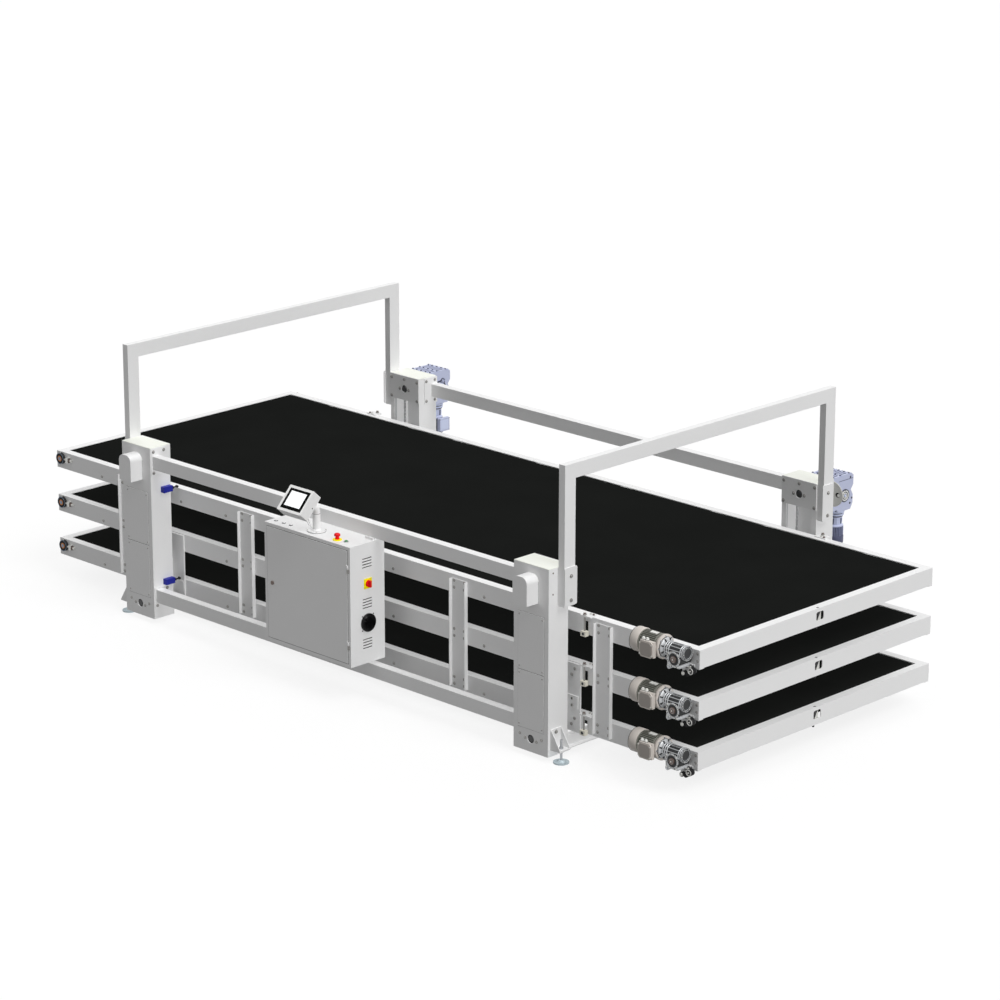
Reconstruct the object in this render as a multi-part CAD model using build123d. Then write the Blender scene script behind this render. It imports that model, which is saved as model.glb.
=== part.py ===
from build123d import *
import math
import os

os.makedirs("parts", exist_ok=True)

# Multi-level conveyor table, millimetres, +Z up, origin on the floor under its middle.
# The length runs along X, the width along Y, and the operator stands at the front, -Y.

# Driving sizes: the decks, and where the columns stand along them
DECK_L = 6000.0
DECK_W = 2215.0
SIDE_Y = DECK_W / 2
COL_X = 1848.0
FOOT_H = 35.0

# Stand: a column clears the deck side by COLUMN_GAP
COLUMN_GAP = 63.5
COL_W = 292.0
COL_D = 171.0
COL_IN = SIDE_Y + COLUMN_GAP
COL_OUT = COL_IN + COL_D
COL_WALL = 5.0
COL_TOP = 1238.0
CAP_T = 3.6
SLOT_HALF = COL_W / 2 - 40
BACK_WALL = COL_OUT - COL_WALL
FOOT_X, FOOT_Y = COL_X + 197, COL_IN + 106
ANCHOR_OFF = 38.0
ANCHOR_R = 5.5
BEAM_Z = [1094.0, 154.0]
BEAM_H = 91.0
BEAM_D = 60.0
FRONT_BEAM_Y = -(COL_OUT - 15)
REAR_BEAM_Y = COL_OUT - 52
END_PLATE_T = 5.0
PLATE_T = 6.0
TOP_PLATE_Z = 1060.0
LOW_PLATE_Z = 175.0
CHANNEL_X = COL_X + 92
CHANNEL_W = 37.0
PANEL_HALF = COL_W / 2 - 37
PANELS = [(181.0, 551.0), (555.0, 927.0)]

# Portal arches
ARCH_X = COL_X + COL_W / 2 + 6
ARCH_T = 50.0
ARCH_IN = COL_IN + 1
ARCH_D = 93.0
ARCH_OUT = ARCH_IN + ARCH_D
ARCH_LOW = 995.0
ARCH_TOP = 1886.5
ARCH_WALL = 3.0

# Lift drive
TOP_SHAFT_Z = 1144.0
LOW_SHAFT_Z = 119.0
SHAFT_R = 20.0
SPROCKET_R = 60.0
CHAIN_Y = COL_IN + 64
CHAIN_W = 14.0
CHAIN_T = 13.0
CHAIN_GAP = 0.4
RUN_FIT = 0.05
SOFT_GAP = 0.5
LIFT_MOTOR_X = COL_X + 33
LIFT_MOTOR_Y = COL_OUT + 166
RAIL_IN = COL_IN + 19
RAIL_T = 16.0
RAIL_OFF = COL_W / 2 - COL_WALL
RAIL_W = 18.0

# Belt decks
DECK_TOPS = [918.0, 598.0, 278.0]
DECK_H = 120.0
FLANGE_W = 60.0
FLANGE_T = 4.0
WEB_T = 5.0
END_IN = DECK_L / 2 - WEB_T
AXIS_DROP = 47.0
ROLLER_R = 39.5
BELT_T = 3.0
BELT_HALF = SIDE_Y - 64.5
DRUM_HALF = BELT_HALF + 3
DRIVE_X = DECK_L / 2 - 96
TAIL_X = -(DECK_L / 2 - 52)
TRACK_X = COL_X + 242
TRACK_R = 19.9
TRACK_SHAFT_R = 10.0
DRIVE_JOURNAL_R = 15.0
TAIL_JOURNAL_R = 12.5
TAIL_BEARING_R = 40.0
TIE_X = [s * x for s in (-1, 1) for x in (COL_X + 389, COL_X - 848)]
TIE_W = 140.0
TIE_D = 28.0
CROSS_X = [s * x for s in (-1, 1) for x in (COL_X + 662, COL_X - 178, COL_X - 633, 400.0)]
TRACK_DROP = AXIS_DROP + ROLLER_R + BELT_T + RUN_FIT + TRACK_R
GEAR_Y = -(SIDE_Y + 76.5)
GEAR_RISE = 42.0

# Lift carriage
ARM_LOW = 195.0
ARM_TOP = 405.0
ARM_END = COL_IN + 9
ARM_HALF = SLOT_HALF - 21
SHOE_IN = SLOT_HALF - 6

# Control cabinet: it hangs on the front beams
CAB_X0, CAB_X1 = -337.0, 463.0
CAB_Y1 = -(COL_IN + 75)
CAB_Y0 = CAB_Y1 - 297
CAB_Z0, CAB_Z1 = 279.0, 1079.0
CAB_T = 2.0
DOOR_GAP = 0.3
HMI_X, HMI_Y = 56.0, CAB_Y0 + 94
HMI_CENTRE = (HMI_X, CAB_Y0 - 56, CAB_Z1 + 218)
HMI_TILT = 42.5
HMI_ARM = 72.0
HMI_D = 76.0
STOP_X, STOP_Y = 285.0, CAB_Y0 + 59
START_X, START_Y = 356.0, CAB_Y0 + 69
FAN_Y, FAN_Z = CAB_Y0 + 149, 551.0
SWITCH_Y, SWITCH_Z = CAB_Y0 + 151, 811.0
LOUVRE_Y = CAB_Y0 + 146


def box(x0, x1, y0, y1, z0, z1):
    """Box between two corners, given in any order."""
    lo = (min(x0, x1), min(y0, y1), min(z0, z1))
    size = (abs(x1 - x0), abs(y1 - y0), abs(z1 - z0))
    mid = [lo[i] + size[i] / 2 for i in range(3)]
    return Pos(*mid) * Box(*size)


def rod(axis, r, a, b, p, q):
    """Cylinder along X, Y or Z from a to b, with its centre line at p, q on the other axes."""
    mid, length = (a + b) / 2, abs(b - a)
    if axis == "x":
        return Pos(mid, p, q) * Rot(0, 90, 0) * Cylinder(r, length)
    if axis == "y":
        return Pos(p, mid, q) * Rot(90, 0, 0) * Cylinder(r, length)
    return Pos(p, q, mid) * Cylinder(r, length)


def hexagon(axis, r, a, b, p, q):
    """Hexagonal bar along X, Y or Z, as used for bolt heads and nuts."""
    low, length = min(a, b), abs(b - a)
    prism = extrude(RegularPolygon(r, 6), length)
    if axis == "x":
        return Pos(low, p, q) * Rot(0, 90, 0) * prism
    if axis == "y":
        return Pos(p, low + length, q) * Rot(90, 0, 0) * prism
    return Pos(p, q, low) * prism


def prism_yz(points, x0, x1):
    """Solid with a polygon in the YZ plane, extruded from x0 to x1."""
    face = Plane.YZ * make_face(Polyline(*points, close=True))
    return Pos(min(x0, x1), 0, 0) * extrude(face, abs(x1 - x0), dir=(1, 0, 0))


def prism_xz(points, y0, y1):
    """Solid with a polygon in the XZ plane, extruded from y0 to y1."""
    face = make_face(Polyline(*[(x, 0, z) for x, z in points], close=True))
    return Pos(0, min(y0, y1), 0) * extrude(face, abs(y1 - y0), dir=(0, 1, 0))


def save(name, solids):
    """Writes one node: a single solid, or a group of separate solids."""
    flat = []
    for item in solids if isinstance(solids, list) else [solids]:
        flat.extend(item.solids())
    shape = flat[0] if len(flat) == 1 else Compound(children=flat)
    shape.label = name
    export_step(shape, f"parts/{name}.step")


CORNERS = [(-1, -1), (1, -1), (-1, 1), (1, 1)]


# Columns: a housing with a slot on the deck side and a foot plate
def column(sx, sy):
    xc = sx * COL_X
    half = COL_W / 2
    body = box(xc - half, xc + half, sy * COL_IN, sy * COL_OUT, FOOT_H, COL_TOP)
    inner = half - COL_WALL
    hollow = box(xc - inner, xc + inner, sy * (COL_IN + COL_WALL), sy * (COL_OUT - COL_WALL), FOOT_H + 10, COL_TOP)
    body -= hollow
    body -= box(xc - SLOT_HALF, xc + SLOT_HALF, sy * (COL_IN - 1), sy * (COL_IN + COL_WALL), FOOT_H + 10, COL_TOP)
    for z in (TOP_SHAFT_Z, LOW_SHAFT_Z):
        body -= rod("y", 27, sy * (BACK_WALL - 1), sy * (COL_OUT + 1), xc, z)
    if sy < 0:
        for z0, z1 in ((PANELS[0][0] + 19, PANELS[0][1] - 19), (PANELS[1][0] + 20, PANELS[1][1] - 20)):
            body -= box(xc - PANEL_HALF + 19, xc + PANEL_HALF - 19, sy * (COL_OUT - COL_WALL - 1), sy * (COL_OUT + 1), z0, z1)
    return body


save("front_columns", [column(-1, -1), column(1, -1)])
save("rear_columns", [column(-1, 1), column(1, 1)])

caps = []
bearing_plates = []
feet = []
brackets = []
rails = []
chains = []
bearings = []
for sx, sy in CORNERS:
    xc = sx * COL_X
    half = COL_W / 2
    caps.append(box(xc - half, xc + half, sy * COL_IN, sy * COL_OUT, COL_TOP, COL_TOP + CAP_T))
    # Bearing plates on the deck-side face, above and below the slot
    for z0, z1, zs in ((TOP_PLATE_Z, COL_TOP + CAP_T, TOP_SHAFT_Z), (FOOT_H, LOW_PLATE_Z, LOW_SHAFT_Z)):
        plate = box(xc - half, xc + half, sy * (COL_IN - PLATE_T), sy * COL_IN, z0, z1)
        plate -= rod("y", 27, sy * (COL_IN - PLATE_T - 1), sy * (COL_IN + 1), xc, zs)
        bearing_plates.append(plate)
    # Flange bearings: two at the top shaft and two at the bottom shaft
    for z in (TOP_SHAFT_Z, LOW_SHAFT_Z):
        for y0, y1 in ((COL_IN, COL_IN + 16), (BACK_WALL - 18, BACK_WALL)):
            ring = rod("y", 44, sy * y0, sy * y1, xc, z)
            bearings.append(ring - rod("y", SHAFT_R + RUN_FIT, sy * (y0 - 1), sy * (y1 + 1), xc, z))
    # Guide rails on the side walls of the slot
    for s in (-1, 1):
        rails.append(box(xc + s * (RAIL_OFF - RAIL_W), xc + s * RAIL_OFF, sy * RAIL_IN, sy * (RAIL_IN + RAIL_T), 180, 1055))
    # Lift chain, drawn as one closed loop
    outer = SPROCKET_R + CHAIN_GAP + CHAIN_T
    inner = SPROCKET_R + CHAIN_GAP
    y0, y1 = sy * (CHAIN_Y - CHAIN_W / 2), sy * (CHAIN_Y + CHAIN_W / 2)
    loop = box(xc - outer, xc + outer, y0, y1, LOW_SHAFT_Z, TOP_SHAFT_Z)
    loop += rod("y", outer, y0, y1, xc, LOW_SHAFT_Z) + rod("y", outer, y0, y1, xc, TOP_SHAFT_Z)
    hole = box(xc - inner, xc + inner, y0 - 1, y1 + 1, LOW_SHAFT_Z, TOP_SHAFT_Z)
    if sy < 0:
        hole = box(xc - inner, xc + inner, y1 - 1, y0 + 1, LOW_SHAFT_Z, TOP_SHAFT_Z)
    hole += rod("y", inner, min(y0, y1) - 1, max(y0, y1) + 1, xc, LOW_SHAFT_Z)
    hole += rod("y", inner, min(y0, y1) - 1, max(y0, y1) + 1, xc, TOP_SHAFT_Z)
    chains.append(loop - hole)
    # Foot bracket: back plate, base plate and two gussets, with its levelling foot
    xo = sx * (COL_X + half)
    foot_x, foot_y = sx * FOOT_X, sy * FOOT_Y
    near, far = FOOT_Y - 47, FOOT_Y + 46
    bracket = box(xo, xo + sx * PLATE_T, sy * near, sy * far, 81, 211)
    bracket += box(xo, xo + sx * 84, sy * near, sy * far, 81, 91)
    bracket -= rod("z", 8.3, 80, 92, foot_x, foot_y)
    for y in (near, far - 6):
        tri = [(xo, 85), (xo + sx * 81, 85), (xo + sx * 81, 95), (xo + sx * 8, 211), (xo, 211)]
        bracket += prism_xz(tri, sy * y, sy * (y + 6))
    brackets.append(bracket)
    foot = rod("z", 50, 0, 9, foot_x, foot_y) + Pos(foot_x, foot_y, 15) * Cone(28, 14, 12)
    foot -= rod("z", ANCHOR_R, -1, 10, foot_x + sx * ANCHOR_OFF, foot_y)
    foot += rod("z", 8, 12, 150, foot_x, foot_y)
    foot += hexagon("z", 14, 66, 80.8, foot_x, foot_y) + hexagon("z", 14, 91.2, 104, foot_x, foot_y)
    feet.append(foot)

save("column_caps", caps)
save("bearing_plates", bearing_plates)
save("shaft_bearings", bearings)
save("guide_rails", rails)
save("lift_chains", chains)
save("levelling_feet", feet)

# Covers of the front columns: two screwed panels and a rounded shaft hood on each
covers = []
for sx in (-1, 1):
    xc = sx * COL_X
    for z0, z1 in PANELS:
        covers.append(box(xc - PANEL_HALF, xc + PANEL_HALF, -COL_OUT, -COL_OUT - 2, z0, z1))
    hood = box(xc - 60, xc + 60, -COL_OUT, -COL_OUT - 101, 1008, 1189)
    hood = fillet(hood.edges().filter_by(Axis.Y).group_by(Axis.Z)[-1], 45)
    room = box(xc - 57.5, xc + 57.5, -COL_OUT + 1, -COL_OUT - 98.5, 1010.5, 1186.5)
    room = fillet(room.edges().filter_by(Axis.Y).group_by(Axis.Z)[-1], 42.5)
    covers.append(hood - room)
save("column_covers", covers)


# Beams between the columns, rectangular tube with a bolted plate at each end
def beam(y0, z0, py0, py1, over):
    x1 = COL_X - COL_W / 2
    x0 = x1 - END_PLATE_T
    tube = box(-x0, x0, y0, y0 + BEAM_D, z0, z0 + BEAM_H)
    tube -= box(-x0, x0, y0 + 4, y0 + BEAM_D - 4, z0 + 4, z0 + BEAM_H - 4)
    ends = [box(s * x0, s * x1, py0, py1, z0 - 50, z0 + BEAM_H + over) for s in (-1, 1)]
    return [tube] + ends


ENDS = list(zip(BEAM_Z, (50, 14)))
save("front_beams", [solid for z, over in ENDS for solid in beam(FRONT_BEAM_Y, z, -(COL_OUT - 5), -(COL_IN + 27), over)])
save("rear_beams", [solid for z, over in ENDS for solid in beam(REAR_BEAM_Y, z, COL_IN + 51, COL_OUT + 8, over)])

channels = []
for sx in (-1, 1):
    y1 = COL_IN - PLATE_T
    part = box(sx * CHANNEL_X, sx * (CHANNEL_X + 5), -y1, y1, FOOT_H, FOOT_H + 90)
    for z in (FOOT_H, FOOT_H + 85):
        part += box(sx * CHANNEL_X, sx * (CHANNEL_X + CHANNEL_W), -y1, y1, z, z + 5)
    channels.append(part)
save("base_channels", channels)

# Portal arches: two posts and one beam each, mitred at the corners
arch = []
top_in = ARCH_TOP - ARCH_D
w = ARCH_WALL
for sx in (-1, 1):
    xa, xb = sx * ARCH_X, sx * (ARCH_X + ARCH_T)
    ia, ib = sx * (ARCH_X + w), sx * (ARCH_X + ARCH_T - w)
    for sy in (-1, 1):
        shell = [(sy * ARCH_IN, ARCH_LOW), (sy * ARCH_OUT, ARCH_LOW), (sy * ARCH_OUT, ARCH_TOP), (sy * ARCH_IN, top_in)]
        void = [(sy * (ARCH_IN + w), ARCH_LOW - 1), (sy * (ARCH_OUT - w), ARCH_LOW - 1)]
        void += [(sy * (ARCH_OUT - w), ARCH_TOP - w), (sy * (ARCH_IN + w), top_in + w)]
        arch.append(prism_yz(shell, xa, xb) - prism_yz(void, ia, ib))
    shell = [(-ARCH_OUT, ARCH_TOP), (ARCH_OUT, ARCH_TOP), (ARCH_IN, top_in), (-ARCH_IN, top_in)]
    void = [(-ARCH_OUT + w, ARCH_TOP - w), (ARCH_OUT - w, ARCH_TOP - w), (ARCH_IN + w, top_in + w), (-ARCH_IN - w, top_in + w)]
    arch.append(prism_yz(shell, xa, xb) - prism_yz(void, ia, ib))
save("portal_arches", arch)

for sx, sy in CORNERS:
    xo = sx * (COL_X + COL_W / 2)
    brackets.append(box(xo, sx * ARCH_X, sy * ARCH_IN, sy * ARCH_OUT, 1000, 1236))
    clamp = box(sx * (ARCH_X + ARCH_T), sx * (ARCH_X + ARCH_T + 5), sy * (ARCH_IN - 14), sy * ARCH_OUT, 1000, 1242)
    brackets.append(fillet(clamp.edges().filter_by(Axis.X), 10))
save("stand_brackets", brackets)

# Shafts: two driven, two idling at the front, and one long shaft under each side
def sprocket(xc, sy, z):
    return rod("y", SPROCKET_R, sy * (CHAIN_Y - 8), sy * (CHAIN_Y + 8), xc, z)


for sx, side in ((-1, "left"), (1, "right")):
    xc = sx * COL_X
    save(f"drive_shaft_{side}", rod("y", SHAFT_R, COL_IN - 11, COL_OUT + 113, xc, TOP_SHAFT_Z) + sprocket(xc, 1, TOP_SHAFT_Z))
    save(f"idler_shaft_{side}", rod("y", SHAFT_R, 11 - COL_IN, -58 - COL_OUT, xc, TOP_SHAFT_Z) + sprocket(xc, -1, TOP_SHAFT_Z))
    low = rod("y", SHAFT_R, 2 - COL_OUT, COL_OUT - 2, xc, LOW_SHAFT_Z)
    save(f"sync_shaft_{side}", low + sprocket(xc, -1, LOW_SHAFT_Z) + sprocket(xc, 1, LOW_SHAFT_Z))

# Lift gearmotors behind the rear columns: plate, gearbox, motor and terminal box
lift_units = []
for sx in (-1, 1):
    xc = sx * COL_X
    plate = box(xc - sx * 60, xc + sx * 134, COL_OUT, COL_OUT + 8, 1049, 1221)
    plate += rod("y", 86, COL_OUT, COL_OUT + 8, xc + sx * 134, 1135)
    plate -= rod("y", 30, COL_OUT - 1, COL_OUT + 9, xc, TOP_SHAFT_Z)
    plate -= rod("y", 12, COL_OUT - 1, COL_OUT + 9, xc + sx * 180, 1136)
    lift_units.append(plate)
    near, far = xc - sx * 62, xc + sx * 127
    outline = [(8, 1000), (8, 1235), (206, 1235), (227, 1217), (227, 1155), (203, 1122)]
    outline += [(224, 1085), (224, 1030), (201, 988), (78, 988), (58, 1010)]
    gearbox = prism_yz([(COL_OUT + y, z) for y, z in outline], near, far)
    gearbox += rod("x", 40, far, far + sx * 8, COL_OUT + 154, 1093)
    gearbox += rod("x", 20, near, near - sx * 7, COL_OUT + 149, 1156)
    gearbox += rod("z", 72, 925, 989, LIFT_MOTOR_X * sx, LIFT_MOTOR_Y)
    gearbox -= rod("y", SHAFT_R + RUN_FIT, COL_OUT + 7, COL_OUT + 118, xc, TOP_SHAFT_Z)
    lift_units.append(gearbox)
    motor = rod("z", 58, 800, 925, LIFT_MOTOR_X * sx, LIFT_MOTOR_Y)
    motor += rod("z", 64, 745, 800, LIFT_MOTOR_X * sx, LIFT_MOTOR_Y)
    lid_x = sx * (LIFT_MOTOR_X - 110)
    motor += box(sx * LIFT_MOTOR_X, lid_x, LIFT_MOTOR_Y - 61, LIFT_MOTOR_Y + 41, 777, 875)
    lift_units.append(motor)
save("lift_gearmotors", lift_units)

# Deck frames: side channels, end members and cross members of the three decks
frames = []
beds = []
belts = []
for top in DECK_TOPS:
    axis_z = top - AXIS_DROP
    track_z = top - TRACK_DROP
    for sy in (-1, 1):
        y_out, y_in = sy * SIDE_Y, sy * (SIDE_Y - WEB_T)
        rail = box(-DECK_L / 2, DECK_L / 2, y_in, y_out, top - DECK_H, top)
        rail += box(-DECK_L / 2, DECK_L / 2, sy * (SIDE_Y - FLANGE_W), y_out, top - FLANGE_T, top)
        rail += box(-DECK_L / 2, DECK_L / 2, sy * (SIDE_Y - 40), y_out, top - DECK_H, top - DECK_H + FLANGE_T)
        rail -= rod("y", 24, sy * (SIDE_Y - 10), sy * (SIDE_Y + 1), DRIVE_X, axis_z)
        rail -= box(TAIL_X - 26, TAIL_X + 26, sy * (SIDE_Y - 10), sy * (SIDE_Y + 1), axis_z - 18, axis_z + 18)
        for x in (-TRACK_X, TRACK_X):
            rail -= box(x - 13, x + 13, sy * (SIDE_Y - 50), sy * (SIDE_Y + 1), top - DECK_H - 1, top - 35)
        frames.append(rail)
    for sx in (-1, 1):
        web = SIDE_Y - WEB_T
        x_in = DECK_L / 2 - FLANGE_W
        end = box(sx * (DECK_L / 2 - 5), sx * DECK_L / 2, -web, web, top - DECK_H + FLANGE_T, top - FLANGE_T)
        flange_y = SIDE_Y - FLANGE_W
        end += box(sx * x_in, sx * DECK_L / 2, -flange_y, flange_y, top - FLANGE_T, top)
        end += box(sx * (DECK_L / 2 - 5), sx * DECK_L / 2, -flange_y, flange_y, top - FLANGE_T - 1, top)
        if sx > 0:
            window = box(END_IN - 5, DECK_L / 2 + 1, -35, 35, top - 79, top - 23)
            end -= fillet(window.edges().filter_by(Axis.X), 12)
            end -= rod("z", 11, top - 6, top + 1, END_IN - 12, -8)
        frames.append(end)
    for x in CROSS_X:
        web = SIDE_Y - WEB_T
        tube = box(x - 30, x + 30, -web, web, top - 50.6, top - 10.6)
        tube -= box(x - 27, x + 27, -web - 1, web + 1, top - 47.6, top - 13.6)
        frames.append(tube)
    beds.append(box(TAIL_X + 68, DRIVE_X - 66, -BELT_HALF - 2, BELT_HALF + 2, top - 10.6, top - 7.6))
    # Belt loop around the drive and tail rollers
    loops = []
    for r in (ROLLER_R + BELT_T, ROLLER_R + RUN_FIT):
        grow = 0 if r > ROLLER_R + 1 else 1
        part = box(TAIL_X, DRIVE_X, -BELT_HALF - grow, BELT_HALF + grow, axis_z - r, axis_z + r)
        part += rod("y", r, -BELT_HALF - grow, BELT_HALF + grow, TAIL_X, axis_z)
        part += rod("y", r, -BELT_HALF - grow, BELT_HALF + grow, DRIVE_X, axis_z)
        loops.append(part)
    belts.append(loops[0] - loops[1])
save("deck_frames", frames)
save("slider_beds", beds)
save("deck_belts", belts)

# Rollers of each deck
for top, deck in zip(DECK_TOPS, ("top", "middle", "bottom")):
    axis_z = top - AXIS_DROP
    track_z = top - TRACK_DROP
    drum = rod("y", ROLLER_R, -DRUM_HALF, DRUM_HALF, DRIVE_X, axis_z)
    journal = rod("y", DRIVE_JOURNAL_R, GEAR_Y - 56, SIDE_Y + 20.5, DRIVE_X, axis_z)
    save(f"drive_roller_{deck}", drum + journal)
    drum = rod("y", ROLLER_R, -DRUM_HALF, DRUM_HALF, TAIL_X, axis_z)
    reach = SIDE_Y + 22.5
    save(f"tail_roller_{deck}", drum + rod("y", TAIL_JOURNAL_R, -reach, reach, TAIL_X, axis_z))
    for x, side in ((-TRACK_X, "left"), (TRACK_X, "right")):
        drum = rod("y", TRACK_R, -DRUM_HALF, DRUM_HALF, x, track_z)
        reach = SIDE_Y + 34.5
        save(f"tracking_roller_{deck}_{side}", drum + rod("y", TRACK_SHAFT_R, -reach, reach, x, track_z))

# Bearings, belt adjusters, deck gearmotors and end sensors
roller_bearings = []
adjusters = []
deck_units = []
sensors = []
for top in DECK_TOPS:
    axis_z = top - AXIS_DROP
    track_z = top - TRACK_DROP
    for sy in (-1, 1):
        ring = rod("y", 40, sy * SIDE_Y, sy * (SIDE_Y + 14), DRIVE_X, axis_z)
        ring -= rod("y", DRIVE_JOURNAL_R + RUN_FIT, sy * (SIDE_Y - 1), sy * (SIDE_Y + 15), DRIVE_X, axis_z)
        roller_bearings.append(ring)
        ring = rod("y", TAIL_BEARING_R, sy * SIDE_Y, sy * (SIDE_Y + 20), TAIL_X, axis_z)
        ring -= rod("y", TAIL_JOURNAL_R + RUN_FIT, sy * (SIDE_Y - 1), sy * (SIDE_Y + 21), TAIL_X, axis_z)
        roller_bearings.append(ring)
        # Belt tension: fixed block with its long screw, pushing on the tail bearing
        block = box(TAIL_X + 63, TAIL_X + 88, sy * SIDE_Y, sy * (SIDE_Y + 20), axis_z - 18, axis_z + 18)
        block -= rod("x", 6.1, TAIL_X + 62, TAIL_X + 89, sy * (SIDE_Y + 10), axis_z)
        adjusters.append(block)
        screw = rod("x", 6, TAIL_X + TAIL_BEARING_R + 0.5, TAIL_X + 118, sy * (SIDE_Y + 10), axis_z)
        screw += hexagon("x", 10, TAIL_X + 108, TAIL_X + 118, sy * (SIDE_Y + 10), axis_z)
        adjusters.append(screw)
        # Tracking roller hangers: bracket on the flange, vertical screw and bearing block
        for sx in (-1, 1):
            x, y_rod = sx * TRACK_X, sy * (SIDE_Y + 18)
            plate = box(x - sx * 30, x + sx * 60, sy * (SIDE_Y - 32), sy * (SIDE_Y + 30), top, top + 8)
            adjusters.append(plate - rod("z", 6.2, top - 1, top + 9, x, y_rod))
            screw = rod("z", 6, track_z + 16.3, top + 24, x, y_rod)
            screw += hexagon("z", 10, top + 8.3, top + 16, x, y_rod)
            adjusters.append(screw)
            block = box(x - 20, x + 20, sy * (SIDE_Y + 3), sy * (SIDE_Y + 34), track_z - 16, track_z + 16)
            block -= rod("y", TRACK_SHAFT_R + RUN_FIT, sy * (SIDE_Y + 2), sy * (SIDE_Y + 35), x, track_z)
            adjusters.append(block)
    # Worm gearbox on the drive roller, with its motor along the deck side
    worm_z = axis_z + GEAR_RISE
    gear_out = GEAR_Y - 48
    gearbox = rod("y", 52, GEAR_Y + 58, gear_out, DRIVE_X, axis_z) + rod("y", 36, gear_out, gear_out - 6, DRIVE_X, axis_z)
    gearbox += rod("x", 46, DRIVE_X - 74, DRIVE_X + 70, GEAR_Y, worm_z)
    gearbox += rod("x", 66, DRIVE_X - 110, DRIVE_X - 74, GEAR_Y, worm_z)
    gearbox += box(DRIVE_X - 54, DRIVE_X + 42, GEAR_Y + 50, GEAR_Y - 42, axis_z - 52, worm_z)
    gearbox += rod("y", 15, GEAR_Y + 44, GEAR_Y - 38, DRIVE_X - 45, axis_z - 56)
    gearbox -= rod("y", DRIVE_JOURNAL_R + RUN_FIT, GEAR_Y + 70, GEAR_Y - 66, DRIVE_X, axis_z)
    deck_units.append(gearbox)
    motor_x = DRIVE_X - 138
    motor = rod("x", 76, motor_x, motor_x + 28, GEAR_Y, worm_z) + rod("x", 72, motor_x - 168, motor_x, GEAR_Y, worm_z)
    motor += rod("x", 75.5, motor_x - 196, motor_x - 168, GEAR_Y, worm_z)
    motor += box(motor_x - 83, motor_x + 23, GEAR_Y - 50, GEAR_Y - 112, worm_z - 56, worm_z + 46)
    deck_units.append(motor)
    # Torque arm between the deck side and the gearbox, with its two rubber pads
    arm_y = -(SIDE_Y + 10.5)
    arm = box(DRIVE_X - 29, DRIVE_X + 60, arm_y + 6, arm_y, axis_z - 125, axis_z - 48)
    arm += box(DRIVE_X - 14, DRIVE_X + 60, -SIDE_Y, arm_y + 6, axis_z - 72, axis_z - 50)
    for dx, dz in ((0, 108), (40, 92)):
        arm += rod("y", 18, arm_y, arm_y - 32, DRIVE_X + dx, axis_z - dz)
    arm += box(DRIVE_X - 14, DRIVE_X + 60, arm_y, arm_y - 16, axis_z - 66, axis_z - 56)
    deck_units.append(arm)
    # Product sensor behind the window of the end member
    sensor = box(END_IN - 33, END_IN - 3, -17, 17, top - 62, top - 20)
    sensor += box(END_IN - 6, END_IN - 3, -17, 17, top - 104, top - 60)
    sensor += box(END_IN - 6, END_IN, -40, 40, top - 104, top - 82)
    sensor += rod("z", 7, top - 137, top - 60, END_IN - 18, -8)
    sensors.append(sensor)
save("roller_bearings", roller_bearings)
save("belt_adjusters", adjusters)
save("deck_gearmotors", deck_units)
save("deck_sensors", sensors)

# Tie channels and carriage plates that join the three decks
ties = []
for sy in (-1, 1):
    for x in TIE_X:
        z0, z1 = DECK_TOPS[2] - 100, DECK_TOPS[0] - 26
        tie = box(x - TIE_W / 2, x + TIE_W / 2, sy * SIDE_Y, sy * (SIDE_Y + 5), z0, z1)
        for s in (-1, 1):
            edge = x + s * TIE_W / 2
            tie += box(edge, edge - s * 5, sy * SIDE_Y, sy * (SIDE_Y + TIE_D), z0, z1)
        ties.append(tie)
save("tie_channels", ties)

plates = []
arms = []
shoes = []
for sx, sy in CORNERS:
    xc = sx * COL_X
    plates.append(box(xc - 202, xc + 202, sy * SIDE_Y, sy * (SIDE_Y + 10), 148, 590))
    plates.append(box(xc + sx * 97, xc + sx * 187, sy * (SIDE_Y + 10), sy * (SIDE_Y + 16), 303, 385))
    # The arm passes through the slot and carries the guide shoes and the chain lug
    arm = box(xc - ARM_HALF, xc + ARM_HALF, sy * (SIDE_Y + 10), sy * ARM_END, ARM_LOW, ARM_TOP)
    arm -= box(xc - ARM_HALF + 10, xc + ARM_HALF - 10, sy * (SIDE_Y + 18), sy * (ARM_END + 1), ARM_LOW + 10, ARM_TOP - 10)
    arm += box(xc - SHOE_IN, xc + SHOE_IN, sy * ARM_END, sy * (ARM_END + 12), ARM_LOW, ARM_TOP)
    arm += box(xc + 54, xc + 80, sy * (ARM_END + 12), sy * (CHAIN_Y - CHAIN_W / 2 - SOFT_GAP), 270, 330)
    arms.append(arm)
    for s in (-1, 1):
        for z in (200, 350):
            shoe = box(xc + s * SHOE_IN, xc + s * (RAIL_OFF - 4), sy * ARM_END, sy * (ARM_END + 36), z, z + 50)
            groove = (xc + s * (RAIL_OFF - RAIL_W - 0.3), xc + s * RAIL_OFF)
            shoe -= box(*groove, sy * (RAIL_IN - 0.3), sy * (RAIL_IN + RAIL_T + 0.3), z - 1, z + 51)
            shoes.append(shoe)
cam = box(148 - COL_X, 198 - COL_X, -(SIDE_Y + 10), -(SIDE_Y + 14), 187, 268)
plates.append(fillet(cam.edges().filter_by(Axis.Y), 20))
save("carriage_plates", plates)
save("carriage_arms", arms)
save("guide_shoes", shoes)

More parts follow.
